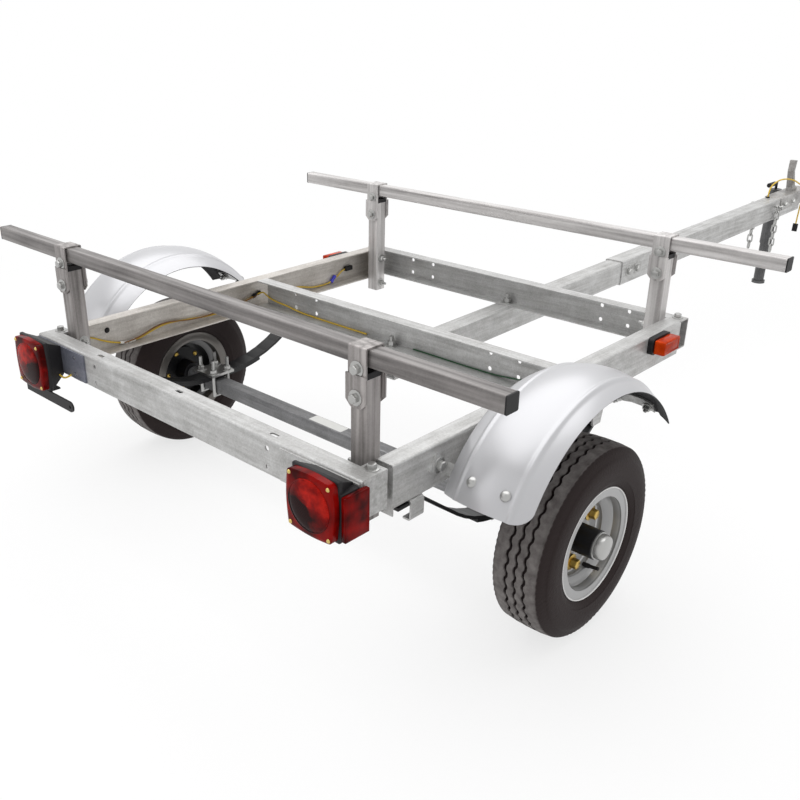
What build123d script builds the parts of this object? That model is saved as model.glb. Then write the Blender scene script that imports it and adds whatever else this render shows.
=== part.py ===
# Small boat trailer: channel frame on a leaf-sprung axle, two-piece tongue, coupler, jack and two load bars.
# Built with the ground under the axle at zero, +X to the right, +Y towards the coupler and +Z up.
import os
from math import asin, cos, degrees, radians, sin, tan

from build123d import *

os.makedirs("parts", exist_ok=True)

# Clearances
SEAT_GAP = 0.3
RUNNING_GAP = 0.05

# Sides of small bars and bolts
BAR_SIDES = 8
BOLT_SIDES = 6

# Wheels, hubs and axle
TYRE_RADIUS = 208.0
TYRE_WIDTH = 130.0
TYRE_GAP = 63.0
TYRE_WALL = 9.0
BULGE_RADIUS = 155.0
TREAD_HALF_WIDTH = 47.0
TREAD_CROWN = 3.0
SHOULDER_HALF_WIDTH = 54.0
SHOULDER_RADIUS = 199.0
WHEEL_SIDES = 40
BEAD_RADIUS = 101.6
RIM_FLANGE_RADIUS = 123.0
RIM_WIDTH = 112.0
RIM_WALL = 3.0
RIM_WELL_RADIUS = 84.0
RIM_WELL_WIDTH = 42.0
RIM_STEP = 9.0
DISC_OFFSET = 4.0
DISC_WALL = 4.0
LUG_CIRCLE = 114.3
LUG_HOLE_RADIUS = 7.0
LUG_COUNT = 5
LUG_START = 42.0
HUB_SIDES = 24
HUB_FLANGE_RADIUS = 68.0
HUB_FLANGE_WALL = 11.0
HUB_BARREL_RADIUS = 31.0
HUB_INNER_LENGTH = 56.0
HUB_OUTER_LENGTH = 56.0
CAP_RADIUS = 27.0
CAP_LENGTH = 20.0
CAP_BEVEL = 6.0
SPINDLE_RADIUS = 12.7
SPINDLE_END_GAP = 6.0
COLLAR_RADIUS = 20.0
COLLAR_LENGTH = 12.0
AXLE_SIZE = 38.1
AXLE_CORNER = 4.0

# Frame channels
FRAME_TOP = 474.0
SHEET = 3.2
FLANGE = 40.0
CHANNEL_BEND = 5.0
CROSS_HEIGHT = 76.2
RAIL_HEIGHT = 88.0
FRAME_HALF_WIDTH = 530.0
REAR_FACE_Y = -492.0
REAR_CORNER_DEPTH = 65.0
REAR_CORNER_GAP = 14.0
MIDDLE_FACE_Y = 199.0
FRONT_FACE_Y = 698.0
RAIL_LIP_DROP = 13.0
CORNER_BOLT_RADIUS = 6.0
CORNER_BOLT_INSET = 20.0
WEB_HOLE_RADIUS = 5.5
WEB_HOLE_INSET = 199.0
WEB_HOLE_SPACING_X = 80.0
WEB_HOLE_SPACING_Z = 39.0
SLOT_LENGTH = 22.0
SLOT_WIDTH = 9.0

# Tongue
TONGUE_WIDTH = 57.0
TONGUE_HEIGHT = 74.0
TONGUE_WALL = 3.2
TONGUE_CORNER = 5.0
TONGUE_REAR_Y = 162.0
TONGUE_SPLICE_Y = 1286.0
TONGUE_OVERLAP = 230.0
TONGUE_FRONT_Y = 2830.0
TONGUE_RISE = 0.65
SLEEVE_GAP = 0.3

# Load posts, bars and saddles
POST_SIZE = 38.1
POST_WALL = 2.6
POST_CORNER = 4.0
POST_BOTTOM = 355.0
POST_REAR_Y = -420.0
POST_FRONT_Y = 634.0
BAR_SIZE = 31.8
BAR_WALL = 2.6
BAR_CORNER = 4.0
BAR_LENGTH = 1524.0
BAR_BOTTOM = 650.0
POST_DROP = 22.0
PLUG_HEAD = 11.0
CAP_FLANGE = 3.0
PLUG_DEPTH = 18.0
SADDLE_WALL = 3.2
SADDLE_WIDTH = 42.0
SADDLE_DROP = 75.0
SADDLE_BOLT_RADIUS = 5.0
CHEEK_WIDTH = 48.0
CHEEK_DROP = 15.0
CHEEK_CHAMFER = 12.0

# Springs, clamps and hangers
LEAF_WIDTH = 44.5
LEAF_WALL = 7.0
LEAF_FLAT = 42.0
LEAF_FRONT_RADIUS = 400.0
LEAF_REAR_RADIUS = 300.0
LEAF_REAR_ANGLE = 36.0
LEAF_STEPS = 6
MAIN_LEAF_REACH = 290.0
SECOND_LEAF_REACH = 150.0
SLIPPER_Y = -347.0
SLIPPER_END_Y = -395.0
SPRING_INSET = 24.0
EYE_RADIUS = 17.0
EYE_PIN_RADIUS = 7.0
HANGER_WALL = 5.0
HANGER_SIDE_GAP = 1.0
HANGER_HALF_LENGTH = 30.0
HANGER_FOOT = 16.0
HANGER_SKIRT = 14.0
HOOK_WALL = 4.0
HOOK_HALF_LENGTH = 18.0
HOOK_DROP = 43.0
HOOK_LIP = 20.0
HOOK_ROUND = 8.0
CLAMP_PLATE_WALL = 7.0
CLAMP_PLATE_LENGTH = 78.0
U_BOLT_RADIUS = 5.0
U_BOLT_REACH = 38.0

# Fenders
FENDER_CENTRE_Y = -45.0
FENDER_CENTRE_Z = 265.0
FENDER_CROWN = 311.0
FENDER_DOME = 158.0
FENDER_DOME_OFFSET = 121.6
FENDER_GAP = 20.0
FENDER_WIDTH = 190.0
FENDER_WALL = 2.5
FENDER_FRONT_ANGLE = 33.0
FENDER_REAR_ANGLE = 155.0
FENDER_SIDES = 20
FENDER_STATIONS = 6
FENDER_BEAD_INSETS = (40.0, 158.0)
FENDER_BEAD_HALF = 5.0
FENDER_BEAD_RISE = 3.5
BRACKET_WALL = 4.0
BRACKET_REACH = 152.0
BRACKET_MARGIN = 0.4
BRACKET_TAB_WIDTH = 36.0
BRACKET_TAB_REACH = 50.0

# Lamps and licence bracket
LAMP_INSET = 60.0
LAMP_Z = 431.0
LAMP_WIDTH = 114.0
LAMP_HEIGHT = 118.0
LAMP_CORNER = 9.0
LAMP_DEPTH = 60.0
LENS_DEPTH = 14.0
LENS_EDGE = 2.0
LENS_ROUND_RADIUS = 44.0
LENS_ROUND_RISE = 4.0
SIDE_LENS_LENGTH = 60.0
SIDE_LENS_HEIGHT = 86.0
SIDE_LENS_DROP = 9.0
SIDE_LENS_BASE = 3.5
SIDE_LENS_WALL = 10.5
LAMP_PLATE_WALL = 4.0
LAMP_PLATE_REACH = 140.0
LICENCE_WALL = 4.0
LICENCE_BAR_HEIGHT = 25.0
LICENCE_BAR_Z = 358.5
LICENCE_REACH = 151.0
LICENCE_HOLE_RADIUS = 4.0
LICENCE_STEM_WIDTH = 30.0

# Side markers
MARKER_Y = 533.0
MARKER_Z = 452.0
MARKER_LENGTH = 84.0
MARKER_HEIGHT = 42.0
MARKER_BASE_WALL = 14.0
MARKER_LENS_WALL = 28.0
MARKER_LENS_INSET = 4.0

# Coupler and latch
COUPLER_REAR_Y = 2604.0
COUPLER_TIP_Y = 2914.0
COUPLER_WALL = 4.0
COUPLER_SKIRT = 52.0
NOSE_RADIUS = 38.0
NOSE_HEIGHT = 46.0
BALL_RADIUS = 25.4
BALL_GAP = 0.4
LATCH_WIDTH = 26.0
LATCH_WALL = 8.0
LATCH_FOOT_Y = 2800.0
LATCH_TOP_Y = 2752.0
LATCH_TOP_Z = 536.0
LATCH_HEEL = 34.0
LATCH_TOE = 22.0
LATCH_NECK = 8.0
LATCH_HEAD = 44.0

# Jack
JACK_Y = 2800.0
JACK_RADIUS = 25.4
JACK_WALL = 3.0
JACK_BOTTOM = 184.0
JACK_TOP = 424.0
JACK_CAP = 10.0
JACK_BRACKET_WALL = 6.0
JACK_BRACKET_LENGTH = 84.0
JACK_BRACKET_HEIGHT = 60.0
LEG_TRAVEL = 165.0
LEG_WALL = 3.0
FOOT_RADIUS = 28.0
FOOT_WALL = 12.0
CRANK_RADIUS = 6.0
CRANK_RISE = 26.0
CRANK_ARM = 86.0
GRIP_RADIUS = 10.0
GRIP_LENGTH = 62.0

# Safety chains
LINK_WIRE = 6.4
LINK_INNER_LENGTH = 28.0
LINK_INNER_WIDTH = 12.0
LINK_COUNT = 6
CHAIN_Y = 2548.0
CHAIN_BOLT_Z = 398.0
CHAIN_BOLT_RADIUS = 5.0
CHAIN_BOLT_REACH = 28.0
CHAIN_HEAD_RADIUS = 9.0
CHAIN_HEAD_WALL = 6.0
CHAIN_HOOK_BEND = 13.0
CHAIN_HOOK_SHANK = 34.0
CHAIN_HOOK_TIP = 20.0

# Wiring
LOOM_RADIUS = 3.5
LOOM_Z = 436.0
LEAD_RADIUS = 3.0
LEAD_SHARE = 0.45
LEAD_X = -16.0
LEAD_Y = 2584.0
GROMMET_RADIUS = 8.0
GROMMET_WALL = 5.0
CONNECTOR_LENGTH = 34.0
CONNECTOR_WIDTH = 22.0
CONNECTOR_WALL = 9.0

# Places that follow from the sizes above
AXLE_Z = TYRE_RADIUS
WHEEL_X = FRAME_HALF_WIDTH + TYRE_GAP + TYRE_WIDTH / 2
CROSS_BOTTOM = FRAME_TOP - CROSS_HEIGHT
RAIL_BOTTOM = FRAME_TOP - RAIL_HEIGHT
RAIL_INNER_X = FRAME_HALF_WIDTH - FLANGE
RAIL_REAR_Y = REAR_FACE_Y + REAR_CORNER_DEPTH + REAR_CORNER_GAP
RAIL_FRONT_Y = FRONT_FACE_Y - FLANGE
POST_X = RAIL_INNER_X - POST_SIZE / 2
BAR_TOP = BAR_BOTTOM + BAR_SIZE
POST_TOP = BAR_BOTTOM - POST_DROP
WEB_HOLE_CENTRE_X = FRAME_HALF_WIDTH - WEB_HOLE_INSET
WEB_HOLE_Z = (FRAME_TOP + CROSS_BOTTOM) / 2 - 2.0
SPRING_X = FRAME_HALF_WIDTH - SPRING_INSET
FENDER_INNER_X = FRAME_HALF_WIDTH + FENDER_GAP
LAMP_X = FRAME_HALF_WIDTH - LAMP_INSET
TONGUE_Z = CROSS_BOTTOM - TONGUE_HEIGHT / 2
SLEEVE_WIDTH = TONGUE_WIDTH + 2 * (TONGUE_WALL + SLEEVE_GAP)
SLEEVE_HEIGHT = TONGUE_HEIGHT + 2 * (TONGUE_WALL + SLEEVE_GAP)
SLEEVE_TOP = TONGUE_Z + SLEEVE_HEIGHT / 2
LENS_FACE_Y = REAR_FACE_Y - LAMP_PLATE_WALL - LAMP_DEPTH
LAMP_BACK_Y = REAR_FACE_Y - LAMP_PLATE_WALL
HOUSING_FACE_Y = LENS_FACE_Y + LENS_DEPTH
LEAF_BOTTOM = AXLE_Z + AXLE_SIZE / 2
LEAF_TOP = LEAF_BOTTOM + 2 * LEAF_WALL
COUPLER_HALF_WIDTH = SLEEVE_WIDTH / 2 + COUPLER_WALL
COUPLER_TOP = SLEEVE_TOP + COUPLER_WALL
JACK_X = -(COUPLER_HALF_WIDTH + JACK_BRACKET_WALL + JACK_RADIUS)
LEG_RADIUS = JACK_RADIUS - JACK_WALL - SEAT_GAP
LEG_TOP = JACK_TOP - JACK_CAP - LEG_TRAVEL - SEAT_GAP
NOSE_Y = COUPLER_TIP_Y - NOSE_RADIUS
NOSE_LOW = COUPLER_TOP - NOSE_HEIGHT
SOCKET_RADIUS = BALL_RADIUS + BALL_GAP
SOCKET_Z = NOSE_LOW + BALL_RADIUS / 3
RISE_COS = cos(radians(TONGUE_RISE))
RISE_SIN = sin(radians(TONGUE_RISE))
RISEN_TIP_Y = FRONT_FACE_Y + (COUPLER_TIP_Y - FRONT_FACE_Y) * RISE_COS + (CROSS_BOTTOM - NOSE_LOW) * RISE_SIN
LEAD_Z = CROSS_BOTTOM + (LEAD_Y - FRONT_FACE_Y) * RISE_SIN + (SLEEVE_TOP - CROSS_BOTTOM) * RISE_COS
MIDDLE_Y = (LENS_FACE_Y - LENS_ROUND_RISE + RISEN_TIP_Y) / 2


def block(x_span, y_span, z_span):
    """A box between two opposite corners."""
    spans = (x_span, y_span, z_span)
    size = [high - low for low, high in spans]
    centre = [(low + high) / 2 for low, high in spans]
    return Pos(*centre) * Box(*size)


def along_x(sketch, start, end):
    """Extrude a sketch whose axes are Y and Z."""
    return extrude(Plane.YZ.offset(start) * sketch, end - start)


def along_y(sketch, start, end):
    """Extrude a sketch whose axes are X and Z."""
    return extrude(Plane.XZ.offset(-end) * sketch, end - start)


def along_z(sketch, start, end):
    """Extrude a sketch whose axes are X and Y."""
    return extrude(Plane.XY.offset(start) * sketch, end - start)


def rod(start, end, radius):
    """A round bar between two points."""
    direction = Vector(*end) - Vector(*start)
    return extrude(Plane(origin=start, z_dir=direction) * Circle(radius), direction.length)


def mirrored(shape):
    """The same piece on the other side of the trailer."""
    return mirror(shape, about=Plane.YZ)


def tube_section(width, height, wall, corner):
    """A rounded rectangular tube's section, centred."""
    return RectangleRounded(width, height, corner) - Rectangle(width - 2 * wall, height - 2 * wall)


def plug_section(size, corner):
    """A plug's head: a square with its corners cut to follow the tube's."""
    head = Rectangle(size, size)
    return chamfer(head.vertices(), corner / 2)


def channel_section(face, bottom, height, flange, opens):
    """A C channel's section: its web's outer face, its lower edge and the side that it opens to."""
    top = bottom + height
    inner = face + opens * SHEET
    lip = face + opens * flange
    outline = Polyline(
        (face, bottom),
        (lip, bottom),
        (lip, bottom + SHEET),
        (inner, bottom + SHEET),
        (inner, top - SHEET),
        (lip, top - SHEET),
        (lip, top),
        (face, top),
        close=True,
    )
    sketch = make_face(outline)
    bends = [corner for corner in sketch.vertices() if abs(corner.X - face) < 0.001]
    return fillet(bends, CHANNEL_BEND)


def bent_rod(points, radius):
    """An eight-sided bar along straight runs with mitred corners."""
    path = Polyline(*points)
    section = Plane(origin=path @ 0, z_dir=path % 0) * RegularPolygon(radius, BAR_SIDES)
    return sweep(section, path=path, transition=Transition.RIGHT)


def bolt(start, end, radius):
    """A six-sided bar between two points."""
    direction = Vector(*end) - Vector(*start)
    section = Plane(origin=start, z_dir=direction) * RegularPolygon(radius, BOLT_SIDES)
    return extrude(section, direction.length)


def flat_sided(points, start, end, steps):
    """A section in X and radius, carried round the X axis in flat steps that touch the true circle."""
    step = (end - start) / steps
    reach = 1 / cos(radians(step / 2))
    section = make_face(Polyline(*[(x, radius * reach) for x, radius in points], close=True))
    return loft([Rot(start + step * index, 0, 0) * section for index in range(steps + 1)], ruled=True)


def risen(shape):
    """Turn a level piece of the tongue up about the lower edge of the front crossmember."""
    pivot = Pos(0, FRONT_FACE_Y, CROSS_BOTTOM)
    return pivot * Rot(TONGUE_RISE, 0, 0) * pivot.inverse() * shape


def save(node, *solids):
    """Write a node with the origin under the middle of the trailer."""
    shape = solids[0] if len(solids) == 1 else Compound(children=list(solids))
    export_step(Pos(0, -MIDDLE_Y, 0) * shape, f"parts/{node}.step")


# Crossmembers: pressed channels with groups of four bolt holes in the web
def web_holes(face_y):
    """The bolt holes through one web, in a group of four on each side."""
    holes = []
    for side in (-1, 1):
        for column in (-0.5, 0.5):
            for row in (-0.5, 0.5):
                x = side * WEB_HOLE_CENTRE_X + column * WEB_HOLE_SPACING_X
                z = WEB_HOLE_Z + row * WEB_HOLE_SPACING_Z
                holes.append(rod((x, face_y - 2 * SHEET, z), (x, face_y + 2 * SHEET, z), WEB_HOLE_RADIUS))
    return holes


def crossmember(face_y, opens, half_length):
    """A channel across the trailer."""
    section = channel_section(face_y, CROSS_BOTTOM, CROSS_HEIGHT, FLANGE, opens)
    return along_x(section, -half_length, half_length) - web_holes(face_y)


rear_crossmember = crossmember(REAR_FACE_Y, 1, FRAME_HALF_WIDTH)
CORNER_FRONT_Y = REAR_FACE_Y + REAR_CORNER_DEPTH
corner_box = block(
    (RAIL_INNER_X, FRAME_HALF_WIDTH),
    (REAR_FACE_Y + CHANNEL_BEND, CORNER_FRONT_Y),
    (CROSS_BOTTOM, FRAME_TOP),
) - block(
    (RAIL_INNER_X - SHEET, FRAME_HALF_WIDTH - SHEET),
    (REAR_FACE_Y, CORNER_FRONT_Y - SHEET),
    (CROSS_BOTTOM + SHEET, FRAME_TOP - SHEET),
)
rear_crossmember = rear_crossmember + corner_box + mirrored(corner_box)
slot_spacing = WEB_HOLE_CENTRE_X - WEB_HOLE_SPACING_X / 2
for slot_x in (-slot_spacing, 0, slot_spacing):
    slot = Pos(slot_x, REAR_FACE_Y + FLANGE / 2) * SlotOverall(SLOT_LENGTH, SLOT_WIDTH)
    rear_crossmember -= along_z(slot, FRAME_TOP - 2 * SHEET, FRAME_TOP + SHEET)
save("rear_crossmember", rear_crossmember)
save("middle_crossmember", crossmember(MIDDLE_FACE_Y, -1, RAIL_INNER_X))
save("front_crossmember", crossmember(FRONT_FACE_Y, -1, FRAME_HALF_WIDTH))


# Side rails: channels that open inwards, with a bolted lip at the rear and a closed front end
rail_section = channel_section(FRAME_HALF_WIDTH, RAIL_BOTTOM, RAIL_HEIGHT, FLANGE, -1)
right_rail = along_y(rail_section, RAIL_REAR_Y, RAIL_FRONT_Y)
rail_lip = block(
    (RAIL_INNER_X, FRAME_HALF_WIDTH),
    (RAIL_REAR_Y, RAIL_REAR_Y + SHEET),
    (RAIL_BOTTOM - RAIL_LIP_DROP, FRAME_TOP - CHANNEL_BEND),
)
rail_front_end = block(
    (RAIL_INNER_X, FRAME_HALF_WIDTH - SHEET),
    (RAIL_FRONT_Y - SHEET, RAIL_FRONT_Y),
    (RAIL_BOTTOM + SHEET, FRAME_TOP - SHEET),
)
right_rail = right_rail + rail_lip + rail_front_end
save("right_side_rail", right_rail)
save("left_side_rail", mirrored(right_rail))

corner_bolts = []
for side in (-1, 1):
    for bolt_z in (CROSS_BOTTOM + CORNER_BOLT_INSET, FRAME_TOP - CORNER_BOLT_INSET):
        bolt_x = side * (RAIL_INNER_X + FLANGE / 2)
        bolt_start = (bolt_x, CORNER_FRONT_Y, bolt_z)
        corner_bolts.append(bolt(bolt_start, (bolt_x, RAIL_REAR_Y, bolt_z), CORNER_BOLT_RADIUS))
save("corner_spacers", *corner_bolts)


# Tongue: a tube under the crossmembers, and a larger one that slides over its front end
rear_tube = tube_section(TONGUE_WIDTH, TONGUE_HEIGHT, TONGUE_WALL, TONGUE_CORNER)
front_tube = tube_section(SLEEVE_WIDTH, SLEEVE_HEIGHT, TONGUE_WALL, TONGUE_CORNER)
level_rear = along_y(Pos(0, TONGUE_Z) * rear_tube, TONGUE_REAR_Y, TONGUE_SPLICE_Y + TONGUE_OVERLAP)
level_front = along_y(Pos(0, TONGUE_Z) * front_tube, TONGUE_SPLICE_Y, TONGUE_FRONT_Y)
save("tongue_rear_tube", risen(level_rear))
save("tongue_front_tube", risen(level_front))

# Tongue spacer: a wedge that packs the tongue under the middle crossmember
wedge_rear_y = MIDDLE_FACE_Y - FLANGE
wedge_slope = tan(radians(TONGUE_RISE))
wedge = make_face(
    Polyline(
        (wedge_rear_y, CROSS_BOTTOM),
        (MIDDLE_FACE_Y, CROSS_BOTTOM),
        (MIDDLE_FACE_Y, CROSS_BOTTOM - (FRONT_FACE_Y - MIDDLE_FACE_Y) * wedge_slope),
        (wedge_rear_y, CROSS_BOTTOM - (FRONT_FACE_Y - wedge_rear_y) * wedge_slope),
        close=True,
    )
)
save("tongue_spacer", along_x(wedge, -TONGUE_WIDTH / 2, TONGUE_WIDTH / 2))


# Load posts, their plugs, the bars across them, the saddle straps and the bars' end caps
POST_PLACES = (
    # name, side of the trailer, Y
    ("rear_left_post", -1, POST_REAR_Y),
    ("rear_right_post", 1, POST_REAR_Y),
    ("front_left_post", -1, POST_FRONT_Y),
    ("front_right_post", 1, POST_FRONT_Y),
)
post_tube = tube_section(POST_SIZE, POST_SIZE, POST_WALL, POST_CORNER)
plug_head = plug_section(POST_SIZE, POST_CORNER)
plug_body = Rectangle(POST_SIZE - 2 * POST_WALL - 2 * SEAT_GAP, POST_SIZE - 2 * POST_WALL - 2 * SEAT_GAP)
plugs = []
saddles = []
for post_name, side, post_y in POST_PLACES:
    place = Pos(side * POST_X, post_y)
    save(post_name, along_z(place * post_tube, POST_BOTTOM, POST_TOP))
    plug = along_z(place * plug_head, POST_TOP, POST_TOP + PLUG_HEAD)
    plugs.append(plug + along_z(place * plug_body, POST_TOP - PLUG_DEPTH, POST_TOP))
    inner = POST_SIZE / 2
    outer = inner + SADDLE_WALL
    strap_low = BAR_BOTTOM - SADDLE_DROP
    strap = make_face(
        Polyline(
            (post_y - outer, strap_low),
            (post_y - inner, strap_low),
            (post_y - inner, BAR_TOP),
            (post_y + inner, BAR_TOP),
            (post_y + inner, strap_low),
            (post_y + outer, strap_low),
            (post_y + outer, BAR_TOP + SADDLE_WALL),
            (post_y - outer, BAR_TOP + SADDLE_WALL),
            close=True,
        )
    )
    crown = [corner for corner in strap.vertices() if corner.Y > BAR_TOP + SADDLE_WALL - 0.001]
    strap = fillet(crown, SADDLE_WALL)
    centre_x = side * POST_X
    saddle = along_x(strap, centre_x - SADDLE_WIDTH / 2, centre_x + SADDLE_WIDTH / 2)
    foot_edges = saddle.edges().filter_by(Axis.Y).group_by(Axis.Z)[0]
    saddle = chamfer(foot_edges, CHEEK_CHAMFER)
    cheek_x = (centre_x - CHEEK_WIDTH / 2, centre_x + CHEEK_WIDTH / 2)
    cheek_z = (strap_low, BAR_BOTTOM - CHEEK_DROP)
    for cheek_y in (post_y - outer - SADDLE_WALL, post_y + outer):
        cheek = block(cheek_x, (cheek_y, cheek_y + SADDLE_WALL), cheek_z)
        cheek_edges = cheek.edges().filter_by(Axis.Y).group_by(Axis.Z)[0]
        saddle += chamfer(cheek_edges, CHEEK_CHAMFER)
    bolt_z = BAR_BOTTOM - SADDLE_BOLT_RADIUS
    saddle += bolt((centre_x, post_y - outer, bolt_z), (centre_x, post_y + outer, bolt_z), SADDLE_BOLT_RADIUS)
    saddles.append(saddle)
save("post_plugs", *plugs)
save("bar_saddles", *saddles)

bar_tube = tube_section(BAR_SIZE, BAR_SIZE, BAR_WALL, BAR_CORNER)
cap_head = plug_section(BAR_SIZE, BAR_CORNER)
cap_body = Rectangle(BAR_SIZE - 2 * BAR_WALL - 2 * SEAT_GAP, BAR_SIZE - 2 * BAR_WALL - 2 * SEAT_GAP)
BAR_PLACES = (
    # name, Y
    ("rear_load_bar", POST_REAR_Y),
    ("front_load_bar", POST_FRONT_Y),
)
caps = []
for bar_name, bar_y in BAR_PLACES:
    place = Pos(bar_y, BAR_BOTTOM + BAR_SIZE / 2)
    save(bar_name, along_x(place * bar_tube, -BAR_LENGTH / 2, BAR_LENGTH / 2))
    cap = along_x(place * cap_head, BAR_LENGTH / 2, BAR_LENGTH / 2 + CAP_FLANGE)
    cap += along_x(place * cap_body, BAR_LENGTH / 2 - PLUG_DEPTH, BAR_LENGTH / 2)
    caps.extend([cap, mirrored(cap)])
save("bar_end_caps", *caps)


# Axle: a square tube with turned spindles, drawn as one piece
axle_section = RectangleRounded(AXLE_SIZE, AXLE_SIZE, AXLE_CORNER)
HUB_INNER_X = WHEEL_X + DISC_OFFSET - HUB_INNER_LENGTH
HUB_OUTER_X = WHEEL_X + DISC_OFFSET + HUB_OUTER_LENGTH
AXLE_HALF_LENGTH = HUB_INNER_X - SEAT_GAP - COLLAR_LENGTH
axle = along_x(Pos(0, AXLE_Z) * axle_section, -AXLE_HALF_LENGTH, AXLE_HALF_LENGTH)
for side in (-1, 1):
    beam_end = (side * AXLE_HALF_LENGTH, 0, AXLE_Z)
    axle += rod(beam_end, (side * (AXLE_HALF_LENGTH + COLLAR_LENGTH), 0, AXLE_Z), COLLAR_RADIUS)
    axle += rod(beam_end, (side * (HUB_OUTER_X - SPINDLE_END_GAP), 0, AXLE_Z), SPINDLE_RADIUS)
save("axle", axle)


# Wheels: tyre, pressed rim and hub go round the axle's line, sections in X and radius from the wheel's middle
def wheel_ring(points, sides):
    """A section carried round the wheel's axis in flat sides that touch the true circle."""
    half_step = 180 / sides
    path_r = points[0][1]
    corner_r = path_r / cos(radians(half_step))
    angles = [radians(half_step + 2 * half_step * index) for index in range(sides)]
    corners = [(0, corner_r * sin(angle), -corner_r * cos(angle)) for angle in angles]
    path = Polyline((0, 0, -path_r), *corners, close=True)
    section = make_face(Polyline(*[(x, 0, -radius) for x, radius in points], close=True))
    return Pos(WHEEL_X, 0, AXLE_Z) * sweep(section, path=path, transition=Transition.RIGHT)


def both_sides(points):
    """The points of one half of a section, then the same ones mirrored and in reverse."""
    return points + [(-x, radius) for x, radius in reversed(points)]


half_tyre = TYRE_WIDTH / 2
half_rim = RIM_WIDTH / 2
bead_x = half_rim - RIM_WALL - SEAT_GAP
bead_r = BEAD_RADIUS + SEAT_GAP
tyre_outside = both_sides(
    [
        (bead_x, bead_r),
        (bead_x, RIM_FLANGE_RADIUS),
        (half_tyre, BULGE_RADIUS),
        (SHOULDER_HALF_WIDTH, SHOULDER_RADIUS),
        (TREAD_HALF_WIDTH, TYRE_RADIUS - TREAD_CROWN),
        (TREAD_HALF_WIDTH / 2, TYRE_RADIUS),
    ]
)
tyre_inside = both_sides(
    [
        (TYRE_WALL - bead_x, bead_r),
        (TYRE_WALL - half_tyre, BULGE_RADIUS),
        (TYRE_WALL - SHOULDER_HALF_WIDTH, SHOULDER_RADIUS - TYRE_WALL / 2),
    ]
)
right_tyre = wheel_ring(tyre_outside + tyre_inside, WHEEL_SIDES)

half_well = RIM_WELL_WIDTH / 2
seat_r = BEAD_RADIUS
well_r = RIM_WELL_RADIUS - RIM_WALL
disc_inner_x = DISC_OFFSET
disc_outer_x = DISC_OFFSET + DISC_WALL
disc_hole_r = HUB_BARREL_RADIUS + SEAT_GAP
rim_outside = both_sides(
    [
        (half_rim, RIM_FLANGE_RADIUS),
        (half_rim - RIM_WALL, RIM_FLANGE_RADIUS),
        (half_rim - RIM_WALL, seat_r),
        (half_well + RIM_STEP, seat_r - RIM_WALL),
        (half_well, RIM_WELL_RADIUS),
    ]
)
rim_inside = [
    (-half_rim, seat_r - RIM_WALL),
    (-half_well - RIM_STEP - RIM_WALL, seat_r - 2 * RIM_WALL),
    (-half_well - RIM_WALL, well_r),
    (disc_inner_x, well_r),
    (disc_inner_x, disc_hole_r),
    (disc_outer_x, disc_hole_r),
    (disc_outer_x, well_r),
    (half_well + RIM_WALL, well_r),
    (half_well + RIM_STEP + RIM_WALL, seat_r - 2 * RIM_WALL),
    (half_rim, seat_r - RIM_WALL),
]
right_rim = wheel_ring(rim_outside + rim_inside, WHEEL_SIDES)
for index in range(LUG_COUNT):
    angle = radians(LUG_START + 360 * index / LUG_COUNT)
    lug_y = LUG_CIRCLE / 2 * cos(angle)
    lug_z = AXLE_Z + LUG_CIRCLE / 2 * sin(angle)
    lug_start = (WHEEL_X + disc_inner_x - DISC_WALL, lug_y, lug_z)
    lug_end = (WHEEL_X + disc_outer_x + DISC_WALL, lug_y, lug_z)
    right_rim -= rod(lug_start, lug_end, LUG_HOLE_RADIUS)

hub_bore_r = SPINDLE_RADIUS + RUNNING_GAP
hub_inner = DISC_OFFSET - HUB_INNER_LENGTH
hub_outer = DISC_OFFSET + HUB_OUTER_LENGTH
hub_section = [
    (hub_inner, hub_bore_r),
    (hub_inner, HUB_BARREL_RADIUS),
    (DISC_OFFSET - HUB_FLANGE_WALL, HUB_BARREL_RADIUS),
    (DISC_OFFSET - HUB_FLANGE_WALL, HUB_FLANGE_RADIUS),
    (DISC_OFFSET, HUB_FLANGE_RADIUS),
    (DISC_OFFSET, HUB_BARREL_RADIUS),
    (hub_outer, HUB_BARREL_RADIUS),
    (hub_outer, hub_bore_r),
]
cap_disc = Pos(0, AXLE_Z) * RegularPolygon(CAP_RADIUS, HUB_SIDES, major_radius=False)
dust_cap = along_x(cap_disc, WHEEL_X + hub_outer, WHEEL_X + hub_outer + CAP_LENGTH)
dust_cap = chamfer(dust_cap.faces().sort_by(Axis.X)[-1].edges(), CAP_BEVEL)
right_hub = wheel_ring(hub_section, HUB_SIDES) + dust_cap
WHEEL_PIECES = (
    # piece, right-hand solid
    ("tyre", right_tyre),
    ("rim", right_rim),
    ("hub", right_hub),
)
for piece, solid in WHEEL_PIECES:
    save(f"right_{piece}", solid)
    save(f"left_{piece}", mirrored(solid))


# Leaf springs: two leaves, flat over the axle, with a rolled front eye and a level rear end in a slipper hook
def arc_points(radius, centre_z, angle):
    """Points from the end of the flat middle along an arc that rises by an angle in degrees."""
    turns = [radians(angle * index / LEAF_STEPS) for index in range(1, LEAF_STEPS + 1)]
    return [(LEAF_FLAT + radius * sin(turn), centre_z - radius * cos(turn)) for turn in turns]


def leaf_strip(line):
    """A leaf's outline: a line of points with half the leaf's thickness on each side."""
    upper = []
    lower = []
    for index, place in enumerate(line):
        before = line[max(index - 1, 0)]
        after = line[min(index + 1, len(line) - 1)]
        along = Vector(after[0] - before[0], after[1] - before[1]).normalized()
        upper.append((place[0] - along.Y * LEAF_WALL / 2, place[1] + along.X * LEAF_WALL / 2))
        lower.append((place[0] + along.Y * LEAF_WALL / 2, place[1] - along.X * LEAF_WALL / 2))
    return make_face(Polyline(*upper, *reversed(lower), close=True))


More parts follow.
